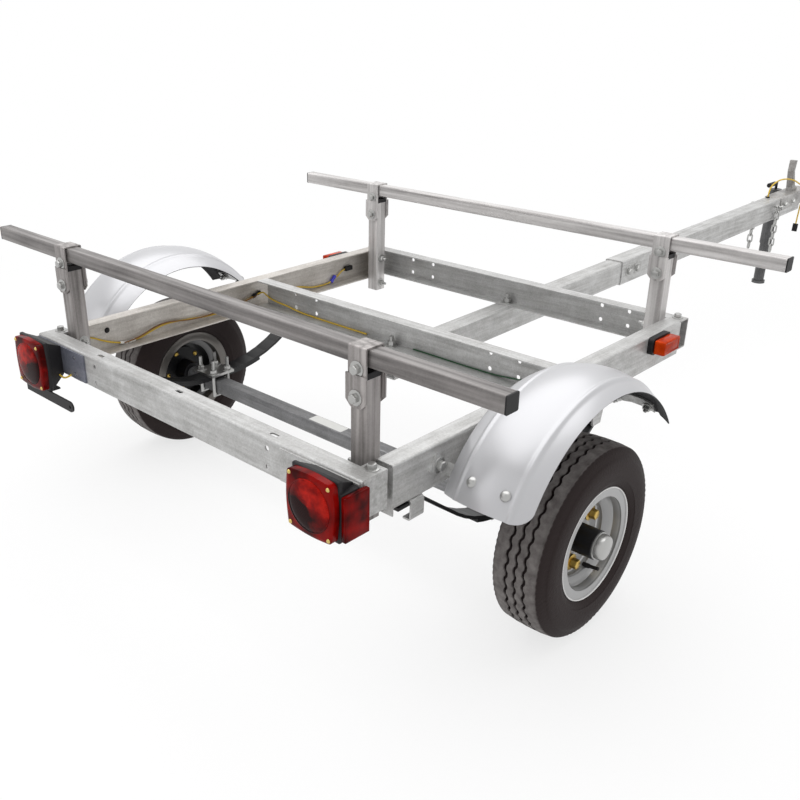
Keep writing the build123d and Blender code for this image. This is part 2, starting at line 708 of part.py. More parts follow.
main_z = LEAF_BOTTOM + 1.5 * LEAF_WALL
main_angle = degrees(asin((MAIN_LEAF_REACH - LEAF_FLAT) / LEAF_FRONT_RADIUS))
slipper_z = RAIL_BOTTOM - HOOK_WALL - SEAT_GAP - LEAF_WALL / 2
front_line = arc_points(LEAF_FRONT_RADIUS, main_z + LEAF_FRONT_RADIUS, main_angle)
rear_line = [(-y, z) for y, z in arc_points(LEAF_REAR_RADIUS, main_z + LEAF_REAR_RADIUS, LEAF_REAR_ANGLE)]
rear_line.append((SLIPPER_Y + HOOK_HALF_LENGTH, slipper_z))
rear_line.append((SLIPPER_END_Y, slipper_z))
main_leaf = leaf_strip([*reversed(rear_line), (-LEAF_FLAT, main_z), (LEAF_FLAT, main_z), *front_line])
second_z = LEAF_BOTTOM + LEAF_WALL / 2
second_halves = []
for radius in (LEAF_REAR_RADIUS + LEAF_WALL, LEAF_FRONT_RADIUS + LEAF_WALL):
    second_angle = degrees(asin((SECOND_LEAF_REACH - LEAF_FLAT) / radius))
    second_halves.append(arc_points(radius, second_z + radius, second_angle))
second_rear = [(-y, z) for y, z in reversed(second_halves[0])]
second_leaf = leaf_strip([*second_rear, (-LEAF_FLAT, second_z), (LEAF_FLAT, second_z), *second_halves[1]])
eye_arc_r = LEAF_FRONT_RADIUS + LEAF_WALL / 2 - EYE_RADIUS
EYE_Y = LEAF_FLAT + eye_arc_r * sin(radians(main_angle))
EYE_Z = main_z + LEAF_FRONT_RADIUS - eye_arc_r * cos(radians(main_angle))
spring_profile = main_leaf + second_leaf + Pos(EYE_Y, EYE_Z) * Circle(EYE_RADIUS)
spring_profile -= Pos(EYE_Y, EYE_Z) * Circle(EYE_PIN_RADIUS + SEAT_GAP)
right_spring = along_x(spring_profile, SPRING_X - LEAF_WIDTH / 2, SPRING_X + LEAF_WIDTH / 2)
save("right_leaf_spring", right_spring)
save("left_leaf_spring", mirrored(right_spring))


# Spring hangers: a bent plate with a pin through the front eye, and a hook of strip under the rear end
hanger_inner = LEAF_WIDTH / 2 + HANGER_SIDE_GAP
hanger_outer = hanger_inner + HANGER_WALL
hanger_span = (SPRING_X - hanger_outer, SPRING_X + hanger_outer)
hanger_room = (SPRING_X - hanger_inner, SPRING_X + hanger_inner)
hanger_low = EYE_Z - HANGER_SKIRT
cheek = make_face(
    Polyline(
        (EYE_Y - HANGER_HALF_LENGTH, RAIL_BOTTOM),
        (EYE_Y + HANGER_HALF_LENGTH, RAIL_BOTTOM),
        (EYE_Y + HANGER_FOOT, hanger_low),
        (EYE_Y - HANGER_FOOT, hanger_low),
        close=True,
    )
)
room_y = (EYE_Y - 2 * HANGER_HALF_LENGTH, EYE_Y + 2 * HANGER_HALF_LENGTH)
room = block(hanger_room, room_y, (hanger_low - HANGER_WALL, RAIL_BOTTOM - HANGER_WALL))
front_hanger = along_x(cheek, *hanger_span) - room
front_hanger += rod((hanger_span[0], EYE_Y, EYE_Z), (hanger_span[1], EYE_Y, EYE_Z), EYE_PIN_RADIUS)

hook_inner_x = SPRING_X + hanger_inner
hook_outer_x = hook_inner_x + HOOK_WALL
hook_low = RAIL_BOTTOM - HOOK_DROP
hook_section = make_face(
    Polyline(
        (RAIL_INNER_X, RAIL_BOTTOM),
        (hook_outer_x, RAIL_BOTTOM),
        (hook_outer_x, hook_low),
        (hook_outer_x - HOOK_LIP, hook_low),
        (hook_outer_x - HOOK_LIP, hook_low + HOOK_WALL),
        (hook_inner_x, hook_low + HOOK_WALL),
        (hook_inner_x, RAIL_BOTTOM - HOOK_WALL),
        (RAIL_INNER_X, RAIL_BOTTOM - HOOK_WALL),
        close=True,
    )
)
hook_bends = [corner for corner in hook_section.vertices() if corner.X > hook_outer_x - 0.001]
hook_section = fillet(hook_bends, HOOK_ROUND)
rear_hook = along_y(hook_section, SLIPPER_Y - HOOK_HALF_LENGTH, SLIPPER_Y + HOOK_HALF_LENGTH)
save("spring_hangers", front_hanger, mirrored(front_hanger), rear_hook, mirrored(rear_hook))


# Axle clamps: two U-bolts round the axle on each side, with their nuts on a plate over the spring
u_leg_y = AXLE_SIZE / 2 + U_BOLT_RADIUS + SEAT_GAP
u_bottom_z = AXLE_Z - AXLE_SIZE / 2 - U_BOLT_RADIUS - SEAT_GAP
u_top_z = LEAF_TOP + CLAMP_PLATE_WALL + U_BOLT_REACH
u_bolt_offset = LEAF_WIDTH / 2 + U_BOLT_RADIUS + SEAT_GAP
plate_half_width = u_bolt_offset + U_BOLT_RADIUS + CLAMP_PLATE_WALL
plate = block(
    (SPRING_X - plate_half_width, SPRING_X + plate_half_width),
    (-CLAMP_PLATE_LENGTH / 2, CLAMP_PLATE_LENGTH / 2),
    (LEAF_TOP, LEAF_TOP + CLAMP_PLATE_WALL),
)
clamps = []
for u_x in (SPRING_X - u_bolt_offset, SPRING_X + u_bolt_offset):
    u_points = (
        (u_x, -u_leg_y, u_top_z),
        (u_x, -u_leg_y, u_bottom_z),
        (u_x, u_leg_y, u_bottom_z),
        (u_x, u_leg_y, u_top_z),
    )
    clamps.append(bent_rod(u_points, U_BOLT_RADIUS))
    for leg_y in (-u_leg_y, u_leg_y):
        hole = Pos(u_x, leg_y) * RegularPolygon(U_BOLT_RADIUS + SEAT_GAP, BAR_SIDES, major_radius=False)
        plate -= along_z(hole, LEAF_TOP - SHEET, u_top_z)
clamps.append(plate)
save("axle_clamps", *clamps, *[mirrored(piece) for piece in clamps])


# Fenders: domed sheet with two pressed beads, carried round a line across the trailer
def dome(x):
    """The radius of the fender's outside at one place across it."""
    across = x - FRAME_HALF_WIDTH - FENDER_DOME_OFFSET
    return FENDER_CROWN - FENDER_DOME + (FENDER_DOME ** 2 - across ** 2) ** 0.5


bead_tops = [FENDER_INNER_X + inset for inset in FENDER_BEAD_INSETS]
stations = [FENDER_INNER_X + FENDER_WIDTH * index / FENDER_STATIONS for index in range(FENDER_STATIONS + 1)]
stations += [top + shift for top in bead_tops for shift in (-FENDER_BEAD_HALF, 0, FENDER_BEAD_HALF)]
stations.sort()
outside = [(x, dome(x) + (FENDER_BEAD_RISE if x in bead_tops else 0)) for x in stations]
inside = [(x, radius - FENDER_WALL) for x, radius in reversed(outside)]
fender_place = Pos(0, FENDER_CENTRE_Y, FENDER_CENTRE_Z)
fender_sheet = flat_sided(outside + inside, FENDER_FRONT_ANGLE, FENDER_REAR_ANGLE, FENDER_SIDES)
right_fender = fender_place * fender_sheet
save("right_fender", right_fender)
save("left_fender", mirrored(right_fender))


# Fender brackets: a strap bent to the dome under each end of the fender, with a tab bolted to the rail
fender_step = (FENDER_REAR_ANGLE - FENDER_FRONT_ANGLE) / FENDER_SIDES
strap_end_x = FENDER_INNER_X + BRACKET_REACH
strap_xs = [x for x in stations if x < strap_end_x] + [strap_end_x]
strap_top = [(x, dome(x) - FENDER_WALL - SEAT_GAP) for x in strap_xs]
strap_top.insert(0, (FRAME_HALF_WIDTH, strap_top[0][1]))
strap_section = strap_top + [(x, radius - BRACKET_WALL) for x, radius in reversed(strap_top)]
BRACKET_STEPS = (0, FENDER_SIDES - 2)
fender_brackets = []
for step_index in BRACKET_STEPS:
    start = FENDER_FRONT_ANGLE + fender_step * step_index
    strap = flat_sided(strap_section, start + BRACKET_MARGIN, start + fender_step - BRACKET_MARGIN, 1)
    tab_low = strap_top[0][1] - BRACKET_WALL
    tab = block(
        (FRAME_HALF_WIDTH, FRAME_HALF_WIDTH + BRACKET_WALL),
        (tab_low, tab_low + BRACKET_TAB_REACH),
        (-BRACKET_TAB_WIDTH / 2, BRACKET_TAB_WIDTH / 2),
    )
    bracket = fender_place * (strap + Rot(start + fender_step / 2, 0, 0) * tab)
    fender_brackets.extend([bracket, mirrored(bracket)])
save("fender_brackets", *fender_brackets)


# Tail lamps: box housing on a wing plate, a square lens with a round motif and a lens on the outer side
def lamp_pieces():
    """Housing, lenses and wing plate of the right tail lamp."""
    outline = Pos(LAMP_X, LAMP_Z) * RectangleRounded(LAMP_WIDTH, LAMP_HEIGHT, LAMP_CORNER)
    housing = along_y(outline, HOUSING_FACE_Y, LAMP_BACK_Y)
    outer_x = LAMP_X + LAMP_WIDTH / 2
    side_z = LAMP_Z - SIDE_LENS_DROP
    side_z_span = (side_z - SIDE_LENS_HEIGHT / 2, side_z + SIDE_LENS_HEIGHT / 2)
    side_face = outer_x + SIDE_LENS_BASE
    housing += block((outer_x, side_face), (HOUSING_FACE_Y, LAMP_BACK_Y), side_z_span)
    lens_outline = RectangleRounded(LAMP_WIDTH - 2 * LENS_EDGE, LAMP_HEIGHT - 2 * LENS_EDGE, LAMP_CORNER)
    lens = along_y(Pos(LAMP_X, LAMP_Z) * lens_outline, LENS_FACE_Y, HOUSING_FACE_Y)
    round_face_y = LENS_FACE_Y - LENS_ROUND_RISE
    lens += rod((LAMP_X, LENS_FACE_Y, LAMP_Z), (LAMP_X, round_face_y, LAMP_Z), LENS_ROUND_RADIUS)
    side_y_span = (HOUSING_FACE_Y, HOUSING_FACE_Y + SIDE_LENS_LENGTH)
    side_lens = block((side_face, side_face + SIDE_LENS_WALL), side_y_span, side_z_span)
    wing_z_span = (CROSS_BOTTOM + CHANNEL_BEND, FRAME_TOP - CHANNEL_BEND)
    wing = block((LAMP_X - LAMP_PLATE_REACH, outer_x), (LAMP_BACK_Y, REAR_FACE_Y), wing_z_span)
    wing -= web_holes(LAMP_BACK_Y)
    return housing, lens, side_lens, wing


lamp_housing, lamp_lens, lamp_side_lens, lamp_wing = lamp_pieces()
save("tail_lamp_housings", lamp_housing, mirrored(lamp_housing))
save("tail_lamp_lenses", lamp_lens, lamp_side_lens, mirrored(lamp_lens), mirrored(lamp_side_lens))
save("tail_lamp_plates", lamp_wing, mirrored(lamp_wing))


# Licence bracket: a flat bar with a round end under the left lamp, on a stem screwed to the lamp's underside
lamp_low = LAMP_Z - LAMP_HEIGHT / 2
lamp_outer_x = LAMP_X + LAMP_WIDTH / 2
licence_radius = LICENCE_BAR_HEIGHT / 2
licence_end_x = LICENCE_REACH - LAMP_X
licence_span_y = (HOUSING_FACE_Y, HOUSING_FACE_Y + LICENCE_WALL)
licence_length = licence_end_x - licence_radius + lamp_outer_x
licence_middle_x = licence_length / 2 - lamp_outer_x
licence_bar = Pos(licence_middle_x, LICENCE_BAR_Z) * Rectangle(licence_length, LICENCE_BAR_HEIGHT)
licence_bar += Pos(licence_end_x - licence_radius, LICENCE_BAR_Z) * Circle(licence_radius)
licence_bar -= Pos(licence_end_x - licence_radius, LICENCE_BAR_Z) * Circle(LICENCE_HOLE_RADIUS)
licence_inner_x = -LAMP_X + LAMP_WIDTH / 2 - LAMP_CORNER
licence_tab = block(
    (-lamp_outer_x + LAMP_CORNER, licence_inner_x),
    (HOUSING_FACE_Y, HOUSING_FACE_Y + LICENCE_STEM_WIDTH),
    (lamp_low - LICENCE_WALL, lamp_low),
)
licence_stem_z = (LICENCE_BAR_Z, lamp_low - LICENCE_WALL)
licence_stem = block((licence_inner_x - LICENCE_STEM_WIDTH, licence_inner_x), licence_span_y, licence_stem_z)
save("licence_bracket", along_y(licence_bar, *licence_span_y) + licence_tab + licence_stem)


# Side markers: amber lens on a black base, on the outer face of each rail
marker_profile = Pos(MARKER_Y, MARKER_Z) * RectangleRounded(MARKER_LENGTH, MARKER_HEIGHT, LAMP_CORNER)
marker_face = FRAME_HALF_WIDTH + MARKER_BASE_WALL
marker_base = along_x(marker_profile, FRAME_HALF_WIDTH, marker_face)
lens_profile = Pos(MARKER_Y, MARKER_Z) * RectangleRounded(
    MARKER_LENGTH - 2 * MARKER_LENS_INSET, MARKER_HEIGHT - 2 * MARKER_LENS_INSET, LAMP_CORNER
)
marker_lens = along_x(lens_profile, marker_face, marker_face + MARKER_LENS_WALL)
marker_lens = chamfer(marker_lens.faces().sort_by(Axis.X)[-1].edges(), MARKER_LENS_INSET)
save("side_marker_bases", marker_base, mirrored(marker_base))
save("side_marker_lenses", marker_lens, mirrored(marker_lens))


# Coupler: a pressed channel over the tongue's end with a round nose and a ball socket under it
plan = make_face(
    Polyline(
        (-COUPLER_HALF_WIDTH, COUPLER_REAR_Y),
        (COUPLER_HALF_WIDTH, COUPLER_REAR_Y),
        (COUPLER_HALF_WIDTH, TONGUE_FRONT_Y + NOSE_RADIUS / 2),
        (NOSE_RADIUS, NOSE_Y),
        (-NOSE_RADIUS, NOSE_Y),
        (-COUPLER_HALF_WIDTH, TONGUE_FRONT_Y + NOSE_RADIUS / 2),
        close=True,
    )
)
plan += Pos(0, NOSE_Y) * Circle(NOSE_RADIUS)
coupler = along_z(plan, NOSE_LOW, COUPLER_TOP)
coupler = chamfer(coupler.faces().sort_by(Axis.Z)[-1].edges(), COUPLER_WALL)
sleeve_low = COUPLER_TOP - COUPLER_WALL - COUPLER_SKIRT
for side in (-1, 1):
    cheek_span = sorted((side * SLEEVE_WIDTH / 2, side * COUPLER_HALF_WIDTH))
    coupler += block(cheek_span, (COUPLER_REAR_Y, TONGUE_FRONT_Y), (sleeve_low, NOSE_LOW))
coupler -= block(
    (-SLEEVE_WIDTH / 2, SLEEVE_WIDTH / 2),
    (COUPLER_REAR_Y - COUPLER_WALL, TONGUE_FRONT_Y),
    (sleeve_low - COUPLER_WALL, SLEEVE_TOP),
)
coupler -= Pos(0, NOSE_Y, SOCKET_Z) * Sphere(SOCKET_RADIUS)
coupler -= rod((0, NOSE_Y, NOSE_LOW - COUPLER_WALL), (0, NOSE_Y, SOCKET_Z), SOCKET_RADIUS)
save("coupler_body", risen(coupler))


# Coupler latch: a bent lever that stands up from the coupler's top
latch = make_face(
    Polyline(
        (LATCH_FOOT_Y - LATCH_HEEL, COUPLER_TOP),
        (LATCH_FOOT_Y + LATCH_TOE, COUPLER_TOP),
        (LATCH_FOOT_Y + LATCH_TOE, COUPLER_TOP + LATCH_WALL),
        (LATCH_FOOT_Y - LATCH_NECK, COUPLER_TOP + 3 * LATCH_WALL),
        (LATCH_TOP_Y + LATCH_WALL, LATCH_TOP_Z - LATCH_HEAD),
        (LATCH_TOP_Y + 2 * LATCH_WALL, LATCH_TOP_Z),
        (LATCH_TOP_Y, LATCH_TOP_Z),
        (LATCH_TOP_Y - LATCH_WALL / 2, LATCH_TOP_Z - LATCH_HEAD),
        (LATCH_FOOT_Y - LATCH_HEEL, COUPLER_TOP + 2 * LATCH_WALL),
        close=True,
    )
)
save("coupler_latch", risen(along_x(latch, -LATCH_WIDTH / 2, LATCH_WIDTH / 2)))


# Jack: outer tube with its bracket, the leg that slides in it and the crank on its top
jack_place = Pos(JACK_X, JACK_Y)
jack_ring = Circle(JACK_RADIUS) - Circle(JACK_RADIUS - JACK_WALL)
jack_tube = along_z(jack_place * jack_ring, JACK_BOTTOM, JACK_TOP)
jack_tube += along_z(jack_place * Circle(JACK_RADIUS), JACK_TOP - JACK_CAP, JACK_TOP)
bracket_z = TONGUE_Z + (JACK_Y - FRONT_FACE_Y) * RISE_SIN
jack_bracket = block(
    (-COUPLER_HALF_WIDTH - JACK_BRACKET_WALL - JACK_WALL, -COUPLER_HALF_WIDTH),
    (JACK_Y - JACK_BRACKET_LENGTH / 2, JACK_Y + JACK_BRACKET_LENGTH / 2),
    (bracket_z - JACK_BRACKET_HEIGHT / 2, bracket_z + JACK_BRACKET_HEIGHT / 2),
)
jack_bracket -= block(
    (-COUPLER_HALF_WIDTH - JACK_BRACKET_WALL - JACK_WALL, -COUPLER_HALF_WIDTH - JACK_BRACKET_WALL),
    (JACK_Y + JACK_RADIUS / 2, JACK_Y + JACK_BRACKET_LENGTH),
    (bracket_z - JACK_BRACKET_HEIGHT, bracket_z + JACK_BRACKET_HEIGHT),
)
jack_bracket -= block(
    (-COUPLER_HALF_WIDTH - JACK_BRACKET_WALL - JACK_WALL, -COUPLER_HALF_WIDTH - JACK_BRACKET_WALL),
    (JACK_Y - JACK_BRACKET_LENGTH, JACK_Y - JACK_RADIUS / 2),
    (bracket_z - JACK_BRACKET_HEIGHT, bracket_z + JACK_BRACKET_HEIGHT),
)
jack_bore = along_z(jack_place * Circle(JACK_RADIUS - JACK_WALL), JACK_BOTTOM, JACK_TOP - JACK_CAP)
save("jack_tube", jack_tube + jack_bracket - jack_bore)

leg = along_z(jack_place * (Circle(LEG_RADIUS) - Circle(LEG_RADIUS - LEG_WALL)), FOOT_WALL, LEG_TOP)
leg += along_z(jack_place * Circle(FOOT_RADIUS), 0, FOOT_WALL)
save("jack_leg", leg)

crank_top = JACK_TOP + CRANK_RISE
crank_points = (
    (JACK_X, JACK_Y, JACK_TOP),
    (JACK_X, JACK_Y, crank_top),
    (JACK_X, JACK_Y - CRANK_ARM, crank_top),
)
crank = bent_rod(crank_points, CRANK_RADIUS)
grip_start = (JACK_X, JACK_Y - CRANK_ARM, crank_top)
grip_end = (JACK_X, JACK_Y - CRANK_ARM + GRIP_LENGTH, crank_top)
save("jack_crank", crank + bent_rod((grip_start, grip_end), GRIP_RADIUS))


# Safety chains: eight-sided links hung from a bolt on each side of the tongue, with a hook at the end
def link_ring():
    """A chain link's flat ring, long in Y."""
    cut = LINK_INNER_WIDTH / 4
    rings = []
    for grow in (LINK_WIRE, 0):
        half_w = LINK_INNER_WIDTH / 2 + grow
        half_l = LINK_INNER_LENGTH / 2 + grow
        step = cut + grow / 2
        rings.append(
            make_face(
                Polyline(
                    (half_w, half_l - step),
                    (half_w - step, half_l),
                    (step - half_w, half_l),
                    (-half_w, half_l - step),
                    (-half_w, step - half_l),
                    (step - half_w, -half_l),
                    (half_w - step, -half_l),
                    (half_w, step - half_l),
                    close=True,
                )
            )
        )
    return rings[0] - rings[1]


link = extrude(link_ring(), LINK_WIRE / 2, both=True)
link_pitch = LINK_INNER_LENGTH - 2 * SEAT_GAP
chain_x = SLEEVE_WIDTH / 2 + CHAIN_BOLT_REACH / 2
first_link_z = CHAIN_BOLT_Z + CHAIN_BOLT_RADIUS + SEAT_GAP - LINK_INNER_LENGTH / 2
right_chain = []
for index in range(LINK_COUNT):
    turn = 0 if index % 2 else 90
    centre = Pos(chain_x, CHAIN_Y, first_link_z - index * link_pitch)
    right_chain.append(centre * Rot(0, 0, turn) * Rot(90, 0, 0) * link)
hook_eye_z = first_link_z - (LINK_COUNT - 1) * link_pitch - LINK_INNER_LENGTH / 2
hook_top = hook_eye_z + LINK_WIRE + SEAT_GAP
hook_turn = LINK_COUNT % 2
hook_outline = make_face(
    Polyline(
        (-LINK_WIRE / 2, 0),
        (LINK_WIRE / 2, 0),
        (LINK_WIRE / 2, -CHAIN_HOOK_SHANK),
        (CHAIN_HOOK_BEND - LINK_WIRE / 4, -CHAIN_HOOK_SHANK - CHAIN_HOOK_BEND + LINK_WIRE / 2),
        (2 * CHAIN_HOOK_BEND - LINK_WIRE / 2, -CHAIN_HOOK_SHANK),
        (2 * CHAIN_HOOK_BEND - LINK_WIRE / 2, CHAIN_HOOK_TIP - CHAIN_HOOK_SHANK),
        (2 * CHAIN_HOOK_BEND + LINK_WIRE / 2, CHAIN_HOOK_TIP - CHAIN_HOOK_SHANK),
        (2 * CHAIN_HOOK_BEND + LINK_WIRE / 2, -CHAIN_HOOK_SHANK - LINK_WIRE / 2),
        (CHAIN_HOOK_BEND, -CHAIN_HOOK_SHANK - CHAIN_HOOK_BEND - LINK_WIRE / 2),
        (-LINK_WIRE / 2, -CHAIN_HOOK_SHANK - LINK_WIRE / 2),
        close=True,
    )
)
hook_eye = Pos(0, -LINK_INNER_LENGTH / 2) * link_ring()
hook_sketch = hook_eye + Pos(0, -LINK_INNER_LENGTH - LINK_WIRE / 2) * hook_outline
hook_place = Pos(chain_x, CHAIN_Y, hook_eye_z + 2 * SEAT_GAP)
hook = extrude(hook_sketch, LINK_WIRE / 2, both=True)
right_chain.append(hook_place * Rot(0, 0, 90 if hook_turn == 0 else 0) * Rot(90, 0, 0) * hook)
save("safety_chains", *right_chain, *[mirrored(piece) for piece in right_chain])

bolt_face = SLEEVE_WIDTH / 2
head_x = bolt_face + CHAIN_BOLT_REACH
chain_bolt = bolt((bolt_face, CHAIN_Y, CHAIN_BOLT_Z), (head_x, CHAIN_Y, CHAIN_BOLT_Z), CHAIN_BOLT_RADIUS)
head_end = (head_x + CHAIN_HEAD_WALL, CHAIN_Y, CHAIN_BOLT_Z)
chain_bolt += bolt((head_x, CHAIN_Y, CHAIN_BOLT_Z), head_end, CHAIN_HEAD_RADIUS)
save("chain_bolts", chain_bolt, mirrored(chain_bolt))


# Wiring loom: clipped inside the left rail and the middle crossmember, then into the tongue's open rear end
loom_x = -(FRAME_HALF_WIDTH - SHEET - LOOM_RADIUS - SEAT_GAP)
loom_y = MIDDLE_FACE_Y - SHEET - LOOM_RADIUS - SEAT_GAP
loom_points = (
    (loom_x, RAIL_REAR_Y + 2 * SHEET, LOOM_Z),
    (loom_x, loom_y, LOOM_Z),
    (-TONGUE_WIDTH, loom_y, LOOM_Z),
)
save("wiring_loom", bent_rod(loom_points, LOOM_RADIUS))


# Front lighting lead: out of a grommet in the tongue's top, over the coupler and down to a flat connector
grommet_ring = RegularPolygon(GROMMET_RADIUS, BAR_SIDES) - Circle(LEAD_RADIUS + SEAT_GAP)
grommet = along_z(Pos(LEAD_X, LEAD_Y) * grommet_ring, SLEEVE_TOP, SLEEVE_TOP + GROMMET_WALL)
save("lead_grommet", risen(grommet))
LEAD_ROUTE = (
    # X, Y, Z of each point of the route
    (LEAD_X, LEAD_Y, LEAD_Z),
    (LEAD_X, LEAD_Y, LEAD_Z + 30.0),
    (-12.0, LEAD_Y + 22.0, LEAD_Z + 56.0),
    (0.0, LEAD_Y + 66.0, LEAD_Z + 70.0),
    (16.0, LEAD_Y + 116.0, LEAD_Z + 68.0),
    (25.0, LEAD_Y + 170.0, LEAD_Z + 54.0),
    (25.0, LEAD_Y + 226.0, LEAD_Z + 33.0),
    (18.0, LEAD_Y + 282.0, LEAD_Z + 21.0),
    (10.0, LEAD_Y + 332.0, LEAD_Z + 19.0),
    (5.0, LEAD_Y + 358.0, LEAD_Z - 12.0),
    (2.0, LEAD_Y + 361.0, LEAD_Z - 64.0),
    (1.0, LEAD_Y + 358.0, LEAD_Z - 118.0),
    (0.0, LEAD_Y + 356.0, LEAD_Z - 165.0),
)
lead_radii = []
for before, corner, after in zip(LEAD_ROUTE, LEAD_ROUTE[1:], LEAD_ROUTE[2:]):
    run_in = Vector(*corner) - Vector(*before)
    run_out = Vector(*after) - Vector(*corner)
    half_turn = radians(run_in.get_angle(run_out)) / 2
    lead_radii.append(LEAD_SHARE * min(run_in.length, run_out.length) / tan(half_turn))
print("lead bend radii, mm:", [round(radius, 1) for radius in lead_radii])
lead_path = FilletPolyline(*LEAD_ROUTE, radius=lead_radii)
lead_section = RegularPolygon(LEAD_RADIUS, BAR_SIDES)
lead = sweep(Plane(origin=lead_path @ 0, z_dir=lead_path % 0) * lead_section, path=lead_path)
print("lead length, mm:", round(lead_path.length, 1), "volume over section times length:",
      round(lead.volume / (lead_section.area * lead_path.length), 4))
save("lighting_lead", lead)

lead_end = Plane(origin=lead_path @ 1, z_dir=lead_path % 1)
connector_section = RectangleRounded(CONNECTOR_WALL, CONNECTOR_WIDTH, LEAD_RADIUS)
connector = extrude(lead_end * connector_section, CONNECTOR_LENGTH)
save("lead_connector", connector)
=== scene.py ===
from math import atan2, cos, pi, radians, sin, sqrt

import bpy
from mathutils import Matrix, Vector


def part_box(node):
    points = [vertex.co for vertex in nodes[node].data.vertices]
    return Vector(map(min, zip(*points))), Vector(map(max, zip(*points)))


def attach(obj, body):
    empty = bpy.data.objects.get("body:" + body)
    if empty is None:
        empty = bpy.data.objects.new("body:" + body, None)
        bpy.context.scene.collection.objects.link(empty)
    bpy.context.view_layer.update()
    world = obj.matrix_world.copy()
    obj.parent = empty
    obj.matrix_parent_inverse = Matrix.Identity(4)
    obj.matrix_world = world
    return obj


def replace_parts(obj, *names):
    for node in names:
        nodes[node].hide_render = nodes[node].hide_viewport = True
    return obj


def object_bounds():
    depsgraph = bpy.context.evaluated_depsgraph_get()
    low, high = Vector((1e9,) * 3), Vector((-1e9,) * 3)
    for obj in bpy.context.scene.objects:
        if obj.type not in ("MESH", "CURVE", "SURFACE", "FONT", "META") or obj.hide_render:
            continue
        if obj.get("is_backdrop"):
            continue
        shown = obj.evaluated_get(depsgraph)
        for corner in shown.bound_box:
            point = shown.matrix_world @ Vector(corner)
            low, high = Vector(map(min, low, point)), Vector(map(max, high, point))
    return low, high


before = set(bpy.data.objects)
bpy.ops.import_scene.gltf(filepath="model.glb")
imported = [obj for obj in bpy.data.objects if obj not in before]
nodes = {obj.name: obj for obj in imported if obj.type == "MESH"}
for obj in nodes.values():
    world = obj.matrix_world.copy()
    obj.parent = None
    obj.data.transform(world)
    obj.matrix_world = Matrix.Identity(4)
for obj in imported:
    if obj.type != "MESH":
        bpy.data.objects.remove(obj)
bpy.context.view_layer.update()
bpy.ops.object.select_all(action="DESELECT")

# Camera: stands behind the trailer's right rear corner, above the load bars.
# Lens, shift and tilt follow the straight edges of the frame in the photograph.
axle_low, axle_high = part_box("axle")
axle_y = (axle_low.y + axle_high.y) / 2
axle_z = (axle_low.z + axle_high.z) / 2
camera_place = (1.452296, axle_y - 1.472282, 1.211356)
camera_turn = (radians(90 - 24.899), 0, radians(44.084))
bpy.ops.object.camera_add(location=camera_place, rotation=camera_turn)
camera = bpy.context.object
camera.data.lens = 41.515
camera.data.sensor_width = 36.0
camera.data.shift_x = 0.0627
camera.data.shift_y = 0.0256
bpy.context.scene.camera = camera

# Front lighting lead: a bonded flat cable that leaves the tongue through a grommet,
# runs over the coupler and hangs in front of it. It is rubber, drawn as one round cord.
lead_diameter = 0.006
lead_exit = Vector((-0.016, axle_y + 2.584, 0.422695))
lead_steps = (
    # offset from the exit in X, Y and Z
    (0.000, 0.000, 0.000),
    (0.000, 0.000, 0.030),
    (0.004, 0.022, 0.056),
    (0.016, 0.066, 0.070),
    (0.032, 0.116, 0.068),
    (0.041, 0.170, 0.054),
    (0.041, 0.226, 0.033),
    (0.034, 0.282, 0.021),
    (0.026, 0.332, 0.019),
    (0.021, 0.358, -0.012),
    (0.018, 0.361, -0.064),
    (0.017, 0.358, -0.118),
    (0.016, 0.356, -0.165),
)
lead_curve = bpy.data.curves.new("lighting_lead_cord", "CURVE")
lead_curve.dimensions = "3D"
lead_curve.bevel_depth = lead_diameter / 2
lead_curve.bevel_resolution = 4
lead_curve.use_fill_caps = True
lead_spline = lead_curve.splines.new("NURBS")
lead_spline.points.add(len(lead_steps) - 1)
for point, step in zip(lead_spline.points, lead_steps):
    point.co = (*(lead_exit + Vector(step)), 1)
lead_spline.order_u = 3
lead_spline.use_endpoint_u = True
lead_spline.resolution_u = 12
lead_cord = bpy.data.objects.new("lighting_lead_cord", lead_curve)
bpy.context.collection.objects.link(lead_cord)


def plain_finish(name, color, roughness, metallic=0.0, coat=0.0, specular=0.5):
    """A material with one colour all over; its shader is in nodes["Principled BSDF"]."""
    material = bpy.data.materials.new(name)
    material.use_nodes = True
    shader = material.node_tree.nodes["Principled BSDF"]
    shader.inputs["Base Color"].default_value = (*color, 1)
    shader.inputs["Roughness"].default_value = roughness
    shader.inputs["Metallic"].default_value = metallic
    shader.inputs["Coat Weight"].default_value = coat
    shader.inputs["Specular IOR Level"].default_value = specular
    return material


def dress(material, *names):
    """Paints CAD nodes with one material."""
    for name in names:
        nodes[name].data.materials.clear()
        nodes[name].data.materials.append(material)


wire_yellow = plain_finish("wire_yellow", (0.66, 0.45, 0.06), 0.5, specular=0.3)
moulded_black = plain_finish("moulded_black", (0.014, 0.013, 0.014), 0.5, specular=0.25)
lead_curve.materials.append(wire_yellow)
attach(lead_cord, "frame")
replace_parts(lead_cord, "lighting_lead")
dress(moulded_black, "lead_connector", "lead_grommet")

# Frame: pressed channels of hot-dip galvanised steel, bolted at the corners.
# The zinc is pale grey, with fine spangle, faint stains and streaks along the rolling direction.
def fill(tree, node, inputs):
    """Gives a node's inputs their values; a node given for a value is linked by its output."""
    for socket, value in inputs.items():
        if isinstance(value, bpy.types.Node):
            value = next(output for output in value.outputs if output.enabled)
        if isinstance(value, bpy.types.NodeSocket):
            tree.links.new(value, node.inputs[socket])
        else:
            node.inputs[socket].default_value = value


def add_node(tree, kind, inputs, **settings):
    """Adds a shader node with its settings and inputs."""
    node = tree.nodes.new("ShaderNode" + kind)
    for setting, value in settings.items():
        setattr(node, setting, value)
    fill(tree, node, inputs)
    return node


def object_place(tree):
    """The place on the object, for a pattern that stays with it."""
    return tree.nodes.new("ShaderNodeTexCoord").outputs["Object"]


